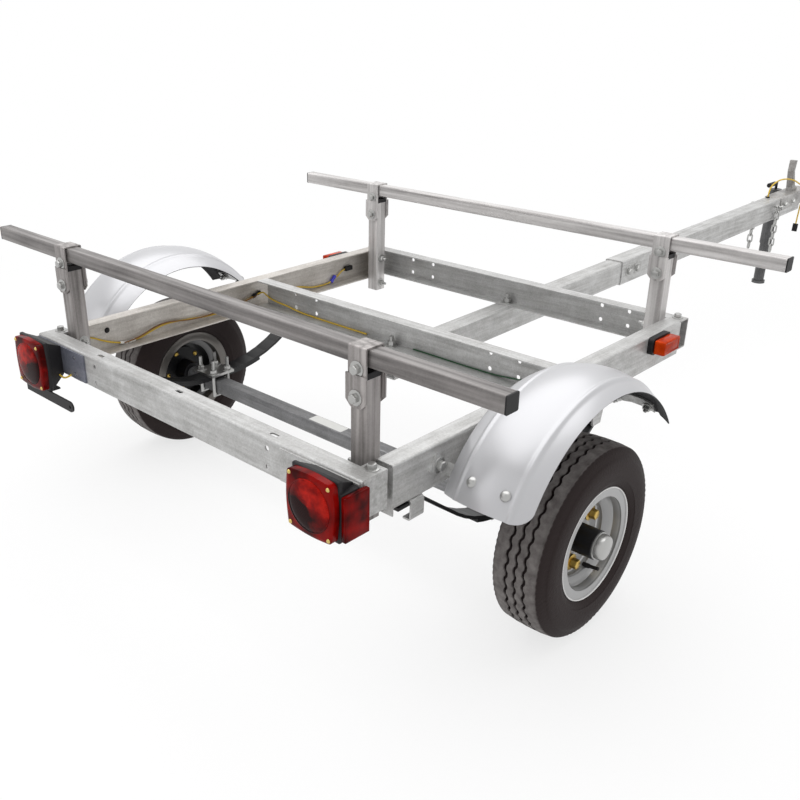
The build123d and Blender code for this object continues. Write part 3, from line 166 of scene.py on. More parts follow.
def spangle_group():
    """Zinc's mottling: a colour, a roughness and a height that change over the surface."""
    group = bpy.data.node_groups.new("zinc_spangle", "ShaderNodeTree")
    inputs = (("Pale", "Color"), ("Dull", "Color"), ("Streak Scale", "Vector"), ("Streak Share", "Float"))
    outputs = (("Color", "Color"), ("Roughness", "Float"), ("Height", "Float"))
    for way, sockets in (("INPUT", inputs), ("OUTPUT", outputs)):
        for name, kind in sockets:
            group.interface.new_socket(name=name, in_out=way, socket_type="NodeSocket" + kind)
    given = group.nodes.new("NodeGroupInput").outputs
    result = group.nodes.new("NodeGroupOutput")
    place = object_place(group)
    crystals = add_node(group, "TexVoronoi", {"Scale": 340, "Vector": place})
    stains = add_node(group, "TexNoise", {"Scale": 13, "Detail": 8, "Roughness": 0.68, "Vector": place})
    stretch = add_node(group, "VectorMath", {0: place, 1: given["Streak Scale"]}, operation="MULTIPLY")
    streaks = add_node(group, "TexNoise", {"Scale": 1, "Detail": 4, "Vector": stretch})
    sparkle = add_node(group, "Math", {0: crystals.outputs["Color"], 1: 0.2}, operation="MULTIPLY")
    mottle = add_node(group, "Math", {0: stains, 1: 0.8, 2: sparkle}, operation="MULTIPLY_ADD")
    drawn = add_node(group, "Mix", {"Factor": given["Streak Share"], "A": mottle, "B": streaks})
    spread = add_node(group, "MapRange", {"From Min": 0.32, "From Max": 0.66, "Value": drawn})
    tones = {"Factor": spread, "A": given["Dull"], "B": given["Pale"]}
    tint = add_node(group, "Mix", tones, data_type="RGBA")
    gloss = add_node(group, "MapRange", {"To Min": 0.50, "To Max": 0.34, "Value": spread})
    fill(group, result, {"Color": tint, "Roughness": gloss, "Height": drawn})
    return group


spangle = spangle_group()


def zinc_finish(name, pale, dull, streak_scale, streak_share=0.4):
    """Galvanised steel with its streaks along one direction."""
    material = plain_finish(name, pale, 0.4, 0.4)
    tree = material.node_tree
    tones = {"Pale": (*pale, 1), "Dull": (*dull, 1), "Streak Scale": streak_scale, "Streak Share": streak_share}
    zinc = add_node(tree, "Group", tones, node_tree=spangle)
    bump = add_node(tree, "Bump", {"Strength": 0.08, "Distance": 0.002, "Height": zinc.outputs["Height"]})
    looks = {"Base Color": zinc.outputs["Color"], "Roughness": zinc.outputs["Roughness"], "Normal": bump}
    fill(tree, tree.nodes["Principled BSDF"], looks)
    return material


def two_tone(material, axis, limit, beyond):
    """Gives a zinc finish another pale and dull tone where the place along one axis is beyond a limit."""
    tree = material.node_tree
    zinc = tree.nodes["Group"]
    parts = add_node(tree, "SeparateXYZ", {0: object_place(tree)})
    past = add_node(tree, "Math", {0: parts.outputs[axis], 1: limit}, operation="GREATER_THAN")
    for socket, tone in zip(("Pale", "Dull"), beyond):
        tones = {"A": zinc.inputs[socket].default_value, "B": (*tone, 1), "Factor": past}
        fill(tree, zinc, {socket: add_node(tree, "Mix", tones, data_type="RGBA")})


streaks_across = (7, 120, 120)
streaks_along = (120, 7, 120)
zinc_pale = (0.61, 0.61, 0.605)
zinc_dull = (0.30, 0.295, 0.285)
zinc_across = zinc_finish("zinc_across", zinc_pale, zinc_dull, streaks_across)
zinc_along = zinc_finish("zinc_along", zinc_pale, zinc_dull, streaks_along)
warm_zinc = zinc_finish("warm_zinc", (0.66, 0.63, 0.59), (0.35, 0.32, 0.29), streaks_along)
bright_zinc = plain_finish("bright_zinc", (0.43, 0.43, 0.42), 0.28, 0.9)
dress(zinc_across, "rear_crossmember", "middle_crossmember", "front_crossmember")
dress(warm_zinc, "left_side_rail")
dress(zinc_along, "right_side_rail", "tongue_spacer")
dress(bright_zinc, "corner_spacers")


# Frame bolts: zinc-plated hexagon bolts where the channels, the tongue and the posts meet.
# They stand on the outer faces of the channels and on both sides of the tongue's splice.
def only(piece):
    """Makes one object the selected and active one."""
    bpy.ops.object.select_all(action="DESELECT")
    piece.select_set(True)
    bpy.context.view_layer.objects.active = piece


def to_mode(mode):
    """Goes into edit mode or back to object mode."""
    bpy.ops.object.mode_set(mode=mode)


def settle(piece, name, material, body):
    """Bakes a finished piece's place into its mesh, paints it and hangs it on its body."""
    only(piece)
    bpy.ops.object.transform_apply(location=True, rotation=True, scale=True)
    bpy.ops.object.shade_smooth_by_angle(angle=radians(35))
    piece.name = name
    piece.data.materials.clear()
    piece.data.materials.append(material)
    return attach(piece, body)


def joined(pieces):
    """Several meshes as one object."""
    only(pieces[0])
    for piece in pieces:
        piece.select_set(True)
    bpy.ops.object.join()
    return bpy.context.object


def pick(piece, kind, parts, wanted):
    """Goes into edit mode with only those parts of a mesh selected for which wanted is true."""
    only(piece)
    to_mode("EDIT")
    bpy.ops.mesh.select_mode(type=kind)
    bpy.ops.mesh.select_all(action="DESELECT")
    to_mode("OBJECT")
    for part in parts:
        part.select = wanted(part)
    to_mode("EDIT")


def pick_faces(piece, wanted):
    """Picks the faces for which wanted(face) is true."""
    pick(piece, "FACE", piece.data.polygons, wanted)


def pick_edges(piece, wanted):
    """Picks the edges for which wanted(first corner, second corner) is true."""
    corners = piece.data.vertices
    pick(piece, "EDGE", piece.data.edges, lambda edge: wanted(*(corners[end].co for end in edge.vertices)))


def hex_head(across, height):
    """A hexagon bolt head on its washer, standing on the origin and pointing along +Z."""
    washer = 0.0018
    bpy.ops.mesh.primitive_cylinder_add(vertices=24, radius=across * 0.92, depth=washer, location=(0, 0, washer / 2))
    disc = bpy.context.object
    pick_faces(disc, lambda face: face.normal.z > 0.9)
    bpy.ops.mesh.bevel(offset=washer * 0.4, segments=2)
    to_mode("OBJECT")
    middle = (0, 0, washer + height / 2)
    bpy.ops.mesh.primitive_cylinder_add(vertices=6, radius=across / 2 / cos(pi / 6), depth=height, location=middle)
    head = bpy.context.object
    pick_faces(head, lambda face: face.normal.z > 0.9)
    bpy.ops.mesh.bevel(offset=across * 0.1, segments=2)
    to_mode("OBJECT")
    only(head)
    disc.select_set(True)
    bpy.ops.object.transform_apply(location=True)
    return joined([disc, head])


def set_out(master, places):
    """One copy of a small piece at each place, given as a point and the way it faces, joined into one object."""
    copies = []
    for point, facing in places:
        turn = Vector((0, 0, 1)).rotation_difference(Vector(facing)).to_matrix().to_4x4()
        copy = bpy.data.objects.new(master.name + "_copy", master.data.copy())
        bpy.context.collection.objects.link(copy)
        copy.data.transform(Matrix.Translation(Vector(point)) @ turn)
        copies.append(copy)
    bpy.data.objects.remove(master)
    return joined(copies)


def bolted(name, master, places):
    """Bright zinc fasteners of one kind on the frame."""
    settle(set_out(master, places), name, bright_zinc, "frame")


rear_low, rear_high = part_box("rear_crossmember")
middle_low, middle_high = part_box("middle_crossmember")
front_low, front_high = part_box("front_crossmember")
rail_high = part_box("right_side_rail")[1]
flange_inset = 0.020
rear_inset = 0.047
corner_bolts = []
for side in (-1, 1):
    corner_x = side * (rail_high.x - flange_inset)
    corner_bolts.append(((corner_x, rear_low.y + rear_inset, rear_high.z), (0, 0, 1)))
    corner_bolts.append(((corner_x, front_high.y - flange_inset, front_high.z), (0, 0, 1)))
bolted("frame_bolts", hex_head(0.015, 0.009), corner_bolts)


def stud_nut(across, height, reach):
    """A nut on a threaded end that stands out of it, on the origin and pointing along +Z."""
    nut = hex_head(across, height)
    top = height + reach
    bpy.ops.mesh.primitive_cylinder_add(vertices=20, radius=across * 0.29, depth=top, location=(0, 0, top / 2))
    stud = bpy.context.object
    pick_faces(stud, lambda face: face.normal.z > 0.9)
    bpy.ops.mesh.bevel(offset=0.001, segments=2)
    to_mode("OBJECT")
    bpy.ops.object.transform_apply(location=True)
    return joined([nut, stud])


sheet = 0.0032
tongue_nuts = []
for low, high in ((middle_low, middle_high), (front_low, front_high)):
    tongue_nuts.append(((0, (low.y + high.y) / 2, low.z + sheet), (0, 0, 1)))
bolted("tongue_nuts", stud_nut(0.019, 0.012, 0.014), tongue_nuts)
splice_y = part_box("tongue_front_tube")[0].y
sleeve_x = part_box("tongue_front_tube")[1].x
splice_z = 0.361
tongue_slope = 0.01135
sleeve_bolts = []
for side in (-1, 1):
    for along in (0.045, 0.100):
        rise = (splice_y + along - front_high.y) * tongue_slope
        sleeve_bolts.append(((side * sleeve_x, splice_y + along, splice_z + rise), (side, 0, 0)))
bolted("sleeve_bolts", hex_head(0.021, 0.012), sleeve_bolts)

# Tongue: two square tubes, the front one a sleeve over the rear one, galvanised like the frame.
# They are bolted through at the splice, and their sides are plain.
dress(zinc_along, "tongue_rear_tube", "tongue_front_tube")

# Load posts and bars: galvanised square tube, streaked along its length, with black plugs pressed in.
# Bent straps go over each bar; a hexagon bolt goes through under the bar and another through the post.
posts = ("rear_left_post", "rear_right_post", "front_left_post", "front_right_post")
# Painted light: the front posts, saddles and bars get paler zinc tones than the rear ones, standing in for the
# brighter light and reflection on their faces.
front_painted_light_tones = ((0.70, 0.68, 0.67), (0.30, 0.285, 0.28))
zinc_upright = zinc_finish("zinc_upright", (0.46, 0.43, 0.42), (0.11, 0.10, 0.095), (85, 85, 3), 0.8)
zinc_bar = zinc_finish("zinc_bar", (0.29, 0.272, 0.265), (0.075, 0.068, 0.066), (3, 85, 85), 0.8)
# Past the middle crossmember, towards the front, the tones switch to the paler painted-light pair.
for finish in (zinc_upright, zinc_bar):
    two_tone(finish, "Y", middle_high.y, front_painted_light_tones)
dress(zinc_upright, *posts, "bar_saddles")
dress(zinc_bar, "rear_load_bar", "front_load_bar")
dress(moulded_black, "post_plugs", "bar_end_caps")
bar_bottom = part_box("rear_load_bar")[0].z
bar_bolt_drop = 0.005
post_bolt_drop = 0.056
base_nut_heights = (0.022, 0.100)
post_bolts = []
base_nuts = []
for post in posts:
    post_low, post_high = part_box(post)
    post_x = (post_low.x + post_high.x) / 2
    post_y = (post_low.y + post_high.y) / 2
    for drop, wall in ((bar_bolt_drop, sheet), (post_bolt_drop, 2 * sheet)):
        post_bolts.append(((post_x, post_low.y - wall, bar_bottom - drop), (0, -1, 0)))
        post_bolts.append(((post_x, post_high.y + wall, bar_bottom - drop), (0, 1, 0)))
    inward, inner_x = (-1, post_low.x) if post_x > 0 else (1, post_high.x)
    for height in base_nut_heights:
        base_nuts.append(((inner_x, post_y, post_low.z + height), (inward, 0, 0)))
bolted("post_bolts", hex_head(0.016, 0.009), post_bolts)
bolted("post_base_nuts", stud_nut(0.014, 0.009, 0.012), base_nuts)

# Axle, springs and clamps: a galvanised square tube under two black leaf springs.
# Bright U-bolts hold each spring down; a plain white label is stuck on the axle's top face.
spring_black = plain_finish("spring_black", (0.010, 0.010, 0.011), 0.38, specular=0.35)
axle_zinc = zinc_finish("axle_zinc", (0.26, 0.26, 0.265), (0.11, 0.11, 0.113), streaks_across)
dress(axle_zinc, "axle")
dress(spring_black, "left_leaf_spring", "right_leaf_spring")
dress(zinc_along, "spring_hangers", "fender_brackets")
dress(bright_zinc, "axle_clamps")
spring_low, spring_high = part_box("right_leaf_spring")
spring_x = (spring_low.x + spring_high.x) / 2
clamp_top = 0.24805
clamp_half_x = 0.02755
clamp_half_y = 0.02435
clamp_nuts = []
for side in (-1, 1):
    for across in (-clamp_half_x, clamp_half_x):
        for along in (-clamp_half_y, clamp_half_y):
            clamp_nuts.append(((side * spring_x + across, axle_y + along, clamp_top), (0, 0, 1)))
bolted("clamp_nuts", hex_head(0.017, 0.010), clamp_nuts)
label_white = plain_finish("label_white", (0.60, 0.60, 0.58), 0.6)
label_size = Vector((0.114, 0.030, 0.0004))
label_x = -0.048
axle_half = 0.01905
bpy.ops.mesh.primitive_cube_add(size=1, location=(label_x, axle_y, axle_z + axle_half + label_size.z / 2))
label = bpy.context.object
label.scale = label_size
bpy.ops.object.transform_apply(scale=True)
pick_edges(label, lambda a, b: abs(a.z - b.z) > label_size.z / 2)
bpy.ops.mesh.bevel(offset=0.004, segments=4)
to_mode("OBJECT")
settle(label, "axle_label", label_white, "frame")


# Wheels: a bias-ply trailer tyre with zig-zag ribs on a pressed silver rim, turning on a black hub.
# Everything is turned round the wheel's own axis, and the five nuts go onto studs in the hub's flange.
def turned(outline, centre, steps, start=0.0, angle=2 * pi):
    """Extrudes a vertex along an outline of X and radius, then spins it about the line along X through centre."""
    bpy.ops.object.select_all(action="DESELECT")
    bpy.ops.mesh.primitive_plane_add(size=0.001, location=centre)
    piece = bpy.context.object
    places = [Vector((x, r * cos(start), r * sin(start))) for x, r in outline]
    to_mode("EDIT")
    bpy.ops.mesh.select_mode(type="VERT")
    bpy.ops.mesh.select_all(action="SELECT")
    bpy.ops.mesh.merge(type="CENTER")
    bpy.ops.transform.translate(value=places[0])
    for before, after in zip(places, places[1:]):
        bpy.ops.mesh.extrude_vertices_move(TRANSFORM_OT_translate={"value": after - before})
    bpy.ops.mesh.select_all(action="SELECT")
    bpy.ops.mesh.spin(steps=steps, angle=angle, center=centre, axis=(-1, 0, 0))
    bpy.ops.mesh.select_all(action="SELECT")
    bpy.ops.mesh.remove_doubles(threshold=0.00005)
    bpy.ops.mesh.normals_make_consistent(inside=False)
    to_mode("OBJECT")
    return piece


tyre_low, tyre_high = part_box("right_tyre")
wheel_x = (tyre_low.x + tyre_high.x) / 2
tyre_radius = (tyre_high.z - tyre_low.z) / 2
rib_steps = 176
groove_half = 0.0034
groove_depth = 0.0070
groove_centres = (-0.020, 0.0, 0.020)
tread_half = 0.047
zig_zag = 0.0042
rib_reach = 0.026
rib_depth = 0.012
shoulder_x = 0.050
shoulder_band = (0.186, 0.203)
notch_scale = 0.989


def tread_radius(x):
    """The crown of the tread."""
    return tyre_radius - 0.0030 * (x / tread_half) ** 2


sidewall = [
    (0.0526, 0.1022), (0.0526, 0.1200), (0.0542, 0.1245), (0.0552, 0.1252),
    (0.0598, 0.1330), (0.0618, 0.1380), (0.0628, 0.1384), (0.0633, 0.1404),
    (0.0632, 0.1430), (0.0648, 0.1540), (0.0645, 0.1660), (0.0630, 0.1765),
    (0.0612, 0.1832), (0.0598, 0.1848), (0.0590, 0.1870), (0.0555, 0.1960),
    (0.0512, 0.2020),
]
tread = [(tread_half, tread_radius(tread_half))]
for middle in reversed(groove_centres):
    top = tread_radius(middle)
    tread.append((middle + groove_half, top))
    tread.append((middle + groove_half * 0.7, top - groove_depth))
    tread.append((middle - groove_half * 0.7, top - groove_depth))
    tread.append((middle - groove_half, top))
tread.append((-tread_half, tread_radius(tread_half)))
tyre_outline = sidewall + tread + [(-x, radius) for x, radius in reversed(sidewall)]
tyre_outline += [(-0.0437, 0.1022), (-0.0560, 0.1550), (-0.0440, 0.1935), (0.0440, 0.1935), (0.0560, 0.1550)]
tyre_outline += [(0.0437, 0.1022), sidewall[0]]


def tyre(side):
    """One tyre: its ribs are pushed sideways in turn, so that the grooves zig-zag, and its shoulders are notched."""
    piece = turned(tyre_outline, Vector((side * wheel_x, axle_y, axle_z)), rib_steps)
    step = 2 * pi / rib_steps
    for part in (*piece.data.edges, *piece.data.polygons):
        part.select = False

    def pick_points(wanted):
        """Goes into edit mode with the points for which wanted(X without sign, radius, column) is true."""
        for vertex in piece.data.vertices:
            x, y, z = vertex.co
            column = round(atan2(z, y) / step) % rib_steps
            vertex.select = wanted(abs(x), sqrt(y ** 2 + z ** 2), column)
        to_mode("EDIT")

    pick_points(lambda x, radius, column: x < rib_reach and radius > tyre_radius - rib_depth and column % 4 < 2)
    bpy.ops.transform.translate(value=(zig_zag, 0, 0))
    bpy.ops.mesh.select_all(action="DESELECT")
    to_mode("OBJECT")
    shoulder_low, shoulder_high = shoulder_band
    pick_points(lambda x, radius, column: x > shoulder_x and shoulder_low < radius < shoulder_high and column % 2 == 0)
    bpy.ops.transform.resize(value=(1, notch_scale, notch_scale))
    to_mode("OBJECT")
    return piece


def rubber_finish(side, hand):
    """Tyre rubber: brown-black with a fine grain, dusty on the tread."""
    material = plain_finish(f"tyre_rubber_{hand}", (0.01, 0.008, 0.008), 0.62, specular=0.16)
    tree = material.node_tree
    place = object_place(tree)
    centre = (side * wheel_x, axle_y, axle_z)
    centred = add_node(tree, "VectorMath", {0: place, 1: centre}, operation="SUBTRACT")
    parts = add_node(tree, "SeparateXYZ", {0: centred}).outputs
    flat = add_node(tree, "CombineXYZ", {"Y": parts["Y"], "Z": parts["Z"]})
    radius = add_node(tree, "VectorMath", {0: flat}, operation="LENGTH")
    grain = add_node(tree, "TexNoise", {"Scale": 240, "Detail": 4, "Vector": place})
    bump = add_node(tree, "Bump", {"Strength": 0.5, "Distance": 0.002, "Height": grain})
    worn = add_node(tree, "MapRange", {"From Min": 0.2030, "From Max": 0.2056, "Value": radius})
    dust = add_node(tree, "TexNoise", {"Scale": 60, "Detail": 6, "Vector": place})
    dusty = add_node(tree, "Math", {0: dust, 1: worn}, operation="MULTIPLY")
    tones = {"A": (0.023, 0.0155, 0.015, 1), "B": (0.30, 0.28, 0.27, 1), "Factor": dusty}
    tint = add_node(tree, "Mix", tones, data_type="RGBA")
    fill(tree, tree.nodes["Principled BSDF"], {"Base Color": tint, "Normal": bump})
    return material


def rim_finish_with_painted_light(side, hand):
    """Silver enamel, darkened towards the inner side by painted shade, with thin bright and dark rings painted across
    the outer lip as painted highlights and shade.
    """
    material = plain_finish(f"rim_silver_{hand}", (0.6, 0.6, 0.6), 0.3, 0.6, 0.2)
    tree = material.node_tree
    parts = add_node(tree, "SeparateXYZ", {0: object_place(tree)})
    span = {"From Min": side * (wheel_x - rim_half), "From Max": side * (wheel_x + rim_half)}
    across = add_node(tree, "MapRange", {**span, "Value": parts.outputs["X"]})
    ramp = add_node(tree, "ValToRGB", {"Fac": across})
    first, last = ramp.color_ramp.elements
    # Positions run from the rim's inner edge (0) to its outer edge (1). The dark inner part and dish are painted
    # shade; the darker band and the thin bright and dark rings towards the outer edge are painted shade and painted
    # highlights; the mid grey between is the silver.
    first.color = (0.14, 0.13, 0.12, 1)
    last.color = (0.78, 0.77, 0.76, 1)
    for position, grey in (
        (0.24, 0.12),
        (0.31, 0.03),
        (0.55, 0.02),
        (0.565, 0.46),
        (0.62, 0.46),
        (0.70, 0.26),
        (0.90, 0.46),
        (0.935, 0.56),
        (0.956, 0.30),
        (0.962, 0.50),
        (0.968, 0.33),
        (0.985, 0.42),
    ):
        ramp.color_ramp.elements.new(position).color = (grey, grey, grey, 1)
    fill(tree, tree.nodes["Principled BSDF"], {"Base Color": ramp})
    return material


hub_black = plain_finish("hub_black", (0.006, 0.006, 0.007), 0.42, specular=0.25)
lug_brass = plain_finish("lug_brass", (0.58, 0.40, 0.10), 0.3, 0.9)
rim_half = 0.056
rim_outline = [
    (0.0535, 0.1230), (0.0554, 0.1226), (0.0560, 0.1214), (0.0553, 0.1200),
    (0.0528, 0.1188), (0.0512, 0.1168), (0.0511, 0.1150), (0.0522, 0.1138),
    (0.0519, 0.1126), (0.0492, 0.1112), (0.0450, 0.1085), (0.0400, 0.1030),
    (0.0350, 0.0990), (0.0305, 0.0972), (0.0270, 0.0925), (0.0245, 0.0850),
    (0.0205, 0.0812), (0.0105, 0.0806), (0.0080, 0.0780), (0.0080, 0.0725),
    (0.0112, 0.0690), (0.0112, 0.0470), (0.0080, 0.0440), (0.0080, 0.0318),
    (0.0040, 0.0318), (0.0040, 0.0808), (-0.0240, 0.0810), (-0.0330, 0.0956),
    (-0.0545, 0.0986), (-0.0560, 0.1010), (-0.0560, 0.1215), (-0.0545, 0.1230),
    (-0.0530, 0.1225), (-0.0530, 0.1016), (-0.0300, 0.0986), (-0.0210, 0.0840),
    (0.0210, 0.0840), (0.0300, 0.0986), (0.0530, 0.1016), (0.0530, 0.1225),
    (0.0535, 0.1230),
]
barrel_outline = [
    (-0.0520, 0.0132), (-0.0520, 0.0300), (-0.0510, 0.0310), (-0.0070, 0.0310),
    (-0.0070, 0.0680), (0.0036, 0.0680), (0.0036, 0.0310), (0.0588, 0.0310),
    (0.0600, 0.0298), (0.0600, 0.0132), (-0.0520, 0.0132),
]
cap_outline = [
    (0.0596, 0.0000), (0.0596, 0.0290), (0.0625, 0.0290), (0.0632, 0.0272),
    (0.0745, 0.0266), (0.0780, 0.0245), (0.0796, 0.0205), (0.0800, 0.0000),
]
valve_outline = [
    (0.0000, 0.0000), (0.0000, 0.0058), (0.0140, 0.0052), (0.0160, 0.0040),
    (0.0360, 0.0038), (0.0372, 0.0026), (0.0372, 0.0000),
]


def dome_head(radius):
    """A round bolt head, standing on the origin and pointing along +Z."""
    bpy.ops.object.select_all(action="DESELECT")
    bpy.ops.mesh.primitive_uv_sphere_add(segments=24, ring_count=12, radius=radius)
    head = bpy.context.object
    to_mode("EDIT")
    bpy.ops.mesh.select_all(action="SELECT")
    bpy.ops.mesh.bisect(plane_co=(0, 0, radius * 0.35), plane_no=(0, 0, 1), clear_inner=True, use_fill=True)
    bpy.ops.mesh.select_all(action="SELECT")
    bpy.ops.transform.translate(value=(0, 0, -radius * 0.35))
    to_mode("OBJECT")
    return head


lug_count = 5
first_lug = 42
lug_circle = 0.05715
lug_seat = 0.0112
flange_back = 0.0070
valve_seat = (0.018, 0.083, 0)
for side, hand in ((1, "right"), (-1, "left")):
    body = f"{hand}_wheel"
    centre = Vector((side * wheel_x, axle_y, axle_z))
    tread_piece = settle(tyre(side), f"{hand}_tyre_tread", rubber_finish(side, hand), body)
    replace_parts(tread_piece, f"{hand}_tyre")
    rim = turned([(side * x, r) for x, r in rim_outline], centre, 96)
    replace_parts(settle(rim, f"{hand}_rim_pressing", rim_finish_with_painted_light(side, hand), body), f"{hand}_rim")
    barrel = turned([(side * x, r) for x, r in barrel_outline], centre, 48)
    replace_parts(settle(barrel, f"{hand}_hub_barrel", hub_black, body), f"{hand}_hub")
    cap = turned([(side * x, r) for x, r in cap_outline], centre, 40)
    settle(cap, f"{hand}_dust_cap", bright_zinc, body)
    nut_places = []
    stud_places = []
    for index in range(lug_count):
        turn = radians(first_lug + 360 / lug_count * index)
        stud = centre + Vector((0, lug_circle * cos(turn), lug_circle * sin(turn)))
        nut_places.append((stud + Vector((side * lug_seat, 0, 0)), (side, 0, 0)))
        stud_places.append((stud - Vector((side * flange_back, 0, 0)), (-side, 0, 0)))
    settle(set_out(hex_head(0.019, 0.015), nut_places), f"{hand}_lug_nuts", lug_brass, body)
    settle(set_out(dome_head(0.0085), stud_places), f"{hand}_stud_heads", lug_brass, body)
    valve = turned(valve_outline, Vector((0, 0, 0)), 16)
    lean = Matrix.Rotation(radians(-10), 4, "Z")
    flip = Matrix.Scale(side, 4, (1, 0, 0))
    spot = Matrix.Rotation(radians(-70), 4, "X")
    valve.data.transform(Matrix.Translation(centre) @ spot @ flip @ Matrix.Translation(valve_seat) @ lean)
    if side < 0:
        valve.data.flip_normals()
    settle(valve, f"{hand}_valve_stem", moulded_black, body)

# Fenders: domed sheet steel painted satin silver, with two pressed beads along it.
# The rear outer corner is cut round; round-headed bolts hold the fender to straps from the rail.
fender_satin = plain_finish("fender_satin", (0.50, 0.50, 0.515), 0.34, 0.5)
# Painted shade: the fender's underside, facing the tyre, is near-black, standing in for the shade under the sheet.
fender_lining = plain_finish("fender_lining", (0.045, 0.045, 0.047), 0.7, specular=0.2)
fender_low, fender_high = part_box("right_fender")
fender_centre = Vector((0, axle_y - 0.045, 0.265))
fender_inner_x = fender_low.x
fender_width = fender_high.x - fender_low.x
fender_crown = 0.311
fender_dome = 0.158
dome_x = rail_high.x + 0.1216
fender_start = radians(33)
fender_sweep = radians(122)
fender_corner = 0.032
fender_wall = 0.0025
bead_insets = (0.040, 0.158)
bead_half = 0.008
bead_height = 0.0030


def dome_radius(x):
    """The fender's outside radius across its width, with the two beads."""
    radius = fender_crown - fender_dome + sqrt(fender_dome ** 2 - (x - dome_x) ** 2)
    for inset in bead_insets:
        away = abs(x - (fender_inner_x + inset)) / bead_half
        if away < 1:
            radius += bead_height * (1 + cos(pi * away)) / 2
    return radius


def fender(side):
    """The sheet is spun from its section, its rear outer corner cut round, then given its thickness."""
    columns = 76
    stations = [fender_inner_x + fender_width * index / columns for index in range(columns + 1)]
    piece = turned([(side * x, dome_radius(x)) for x in stations], fender_centre, 72, fender_start, fender_sweep)
    rear = fender_start + fender_sweep
    outer_x = fender_inner_x + fender_width
    edge_r = dome_radius(outer_x - fender_corner)
    end = Vector((side * (outer_x - fender_corner), edge_r * cos(rear), edge_r * sin(rear)))
    back = Vector((0, -sin(rear), cos(rear)))
    middle = fender_centre + end - back * fender_corner
    only(piece)
    to_mode("EDIT")
    for step in range(1, 8):
        lean = pi / 2 * step / 8
        away = Vector((side * cos(lean), 0, 0)) + back * sin(lean)
        bpy.ops.mesh.select_all(action="SELECT")
        bpy.ops.mesh.bisect(plane_co=middle + away * fender_corner, plane_no=away, clear_outer=True)
    to_mode("OBJECT")
    wall = piece.modifiers.new("wall", "SOLIDIFY")
    wall.thickness = fender_wall
    wall.offset = -1
    bpy.ops.object.modifier_apply(modifier="wall")
    return piece


strap_wall = 0.0070
strap_angles = (36.05, 147.0)
strap_bolt_insets = (0.067, 0.138)
tab_angles = (36.05, 145.85)
tab_radius = 0.297
tab_x = rail_high.x + 0.004
dome_places = []
nut_seats = []
tab_places = []
for side, hand in ((1, "right"), (-1, "left")):
    sheet_piece = settle(fender(side), f"{hand}_fender_sheet", fender_satin, "frame")
    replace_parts(sheet_piece, f"{hand}_fender")
    # The faces that look in towards the wheel get the near-black painted shade.
    sheet_piece.data.materials.append(fender_lining)
    for face in sheet_piece.data.polygons:
        away = face.center - fender_centre
        away.x = 0
        face.material_index = 1 if face.normal.dot(away) < -0.05 else 0
    for angle in strap_angles:
        out = Vector((0, cos(radians(angle)), sin(radians(angle))))
        for inset in strap_bolt_insets:
            x = fender_inner_x + inset
            seat = fender_centre + Vector((side * x, 0, 0))
            dome_places.append((seat + out * dome_radius(x), out))
            nut_seats.append((seat + out * (dome_radius(x) - fender_wall - strap_wall), -out))
    for angle in tab_angles:
        out = Vector((side * tab_x, tab_radius * cos(radians(angle)), tab_radius * sin(radians(angle))))
        tab_places.append((fender_centre + out, (side, 0, 0)))
bolted("fender_bolts", dome_head(0.0115), dome_places)
bolted("fender_nuts", stud_nut(0.014, 0.008, 0.006), nut_seats)
bolted("fender_tab_bolts", hex_head(0.017, 0.009), tab_places)

# Tail lamps: black moulded housings on dull blue zinc wing plates, with red acrylic lenses.
# Each lens is a square tray with a round bull's-eye, held by four brass screws; a second lens faces sideways.
plate_zinc = zinc_finish("plate_zinc", (0.24, 0.25, 0.30), (0.10, 0.105, 0.135), (4, 40, 40))
two_tone(plate_zinc, "X", 0, (zinc_pale, zinc_dull))
dress(plate_zinc, "tail_lamp_plates")


def rounded_block(low, high, radius, segments=3):
    """A cube drawn out between two corners, with all its edges rounded."""
    bpy.ops.object.select_all(action="DESELECT")
    middle = (Vector(low) + Vector(high)) / 2
    bpy.ops.mesh.primitive_cube_add(size=1, location=middle)
    piece = bpy.context.object
    piece.scale = Vector(high) - Vector(low)
    bpy.ops.object.transform_apply(scale=True)
    to_mode("EDIT")
    bpy.ops.mesh.select_all(action="SELECT")
    bpy.ops.mesh.bevel(offset=radius, segments=segments, affect="EDGES")
    to_mode("OBJECT")
    bpy.ops.object.transform_apply(location=True)
    return piece


def lens_finish(name, bright, dark):
    """Acrylic in the lens's own colour, with a bright and a dark tone in random patches as painted reflection of a
    reflector behind it, which is not modelled, under fine moulded lines.
    """
    material = plain_finish(name, bright, 0.12, specular=0.06)
    tree = material.node_tree
    place = object_place(tree)
    painted_reflection_patches = add_node(tree, "TexNoise", {"Scale": 24, "Detail": 2, "Vector": place})
    spread = add_node(tree, "MapRange", {"From Min": 0.36, "From Max": 0.64, "Value": painted_reflection_patches})
    tint = add_node(tree, "Mix", {"A": (*dark, 1), "B": (*bright, 1), "Factor": spread}, data_type="RGBA")
    lines = add_node(tree, "TexWave", {"Scale": 110, "Vector": place}, bands_direction="Z")
    bump = add_node(tree, "Bump", {"Strength": 0.12, "Distance": 0.001, "Height": lines.outputs["Fac"]})
    fill(tree, tree.nodes["Principled BSDF"], {"Base Color": tint, "Normal": bump})
    return material


# The red lens's bright and dark tones are painted reflection, laid in random patches.
red_lens = lens_finish("red_lens", (0.24, 0.003, 0.002), (0.04, 0.001, 0.001))
brass = plain_finish("brass", (0.62, 0.47, 0.16), 0.3, 0.9)
lens_face_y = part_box("tail_lamp_lenses")[0].y + 0.004
lens_depth = 0.014
lamp_back_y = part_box("tail_lamp_housings")[1].y
lamp_x = rail_high.x - 0.060
lamp_z = 0.431
lamp_half_width = 0.057
lamp_half_height = 0.059
side_lens_z = lamp_z - 0.009


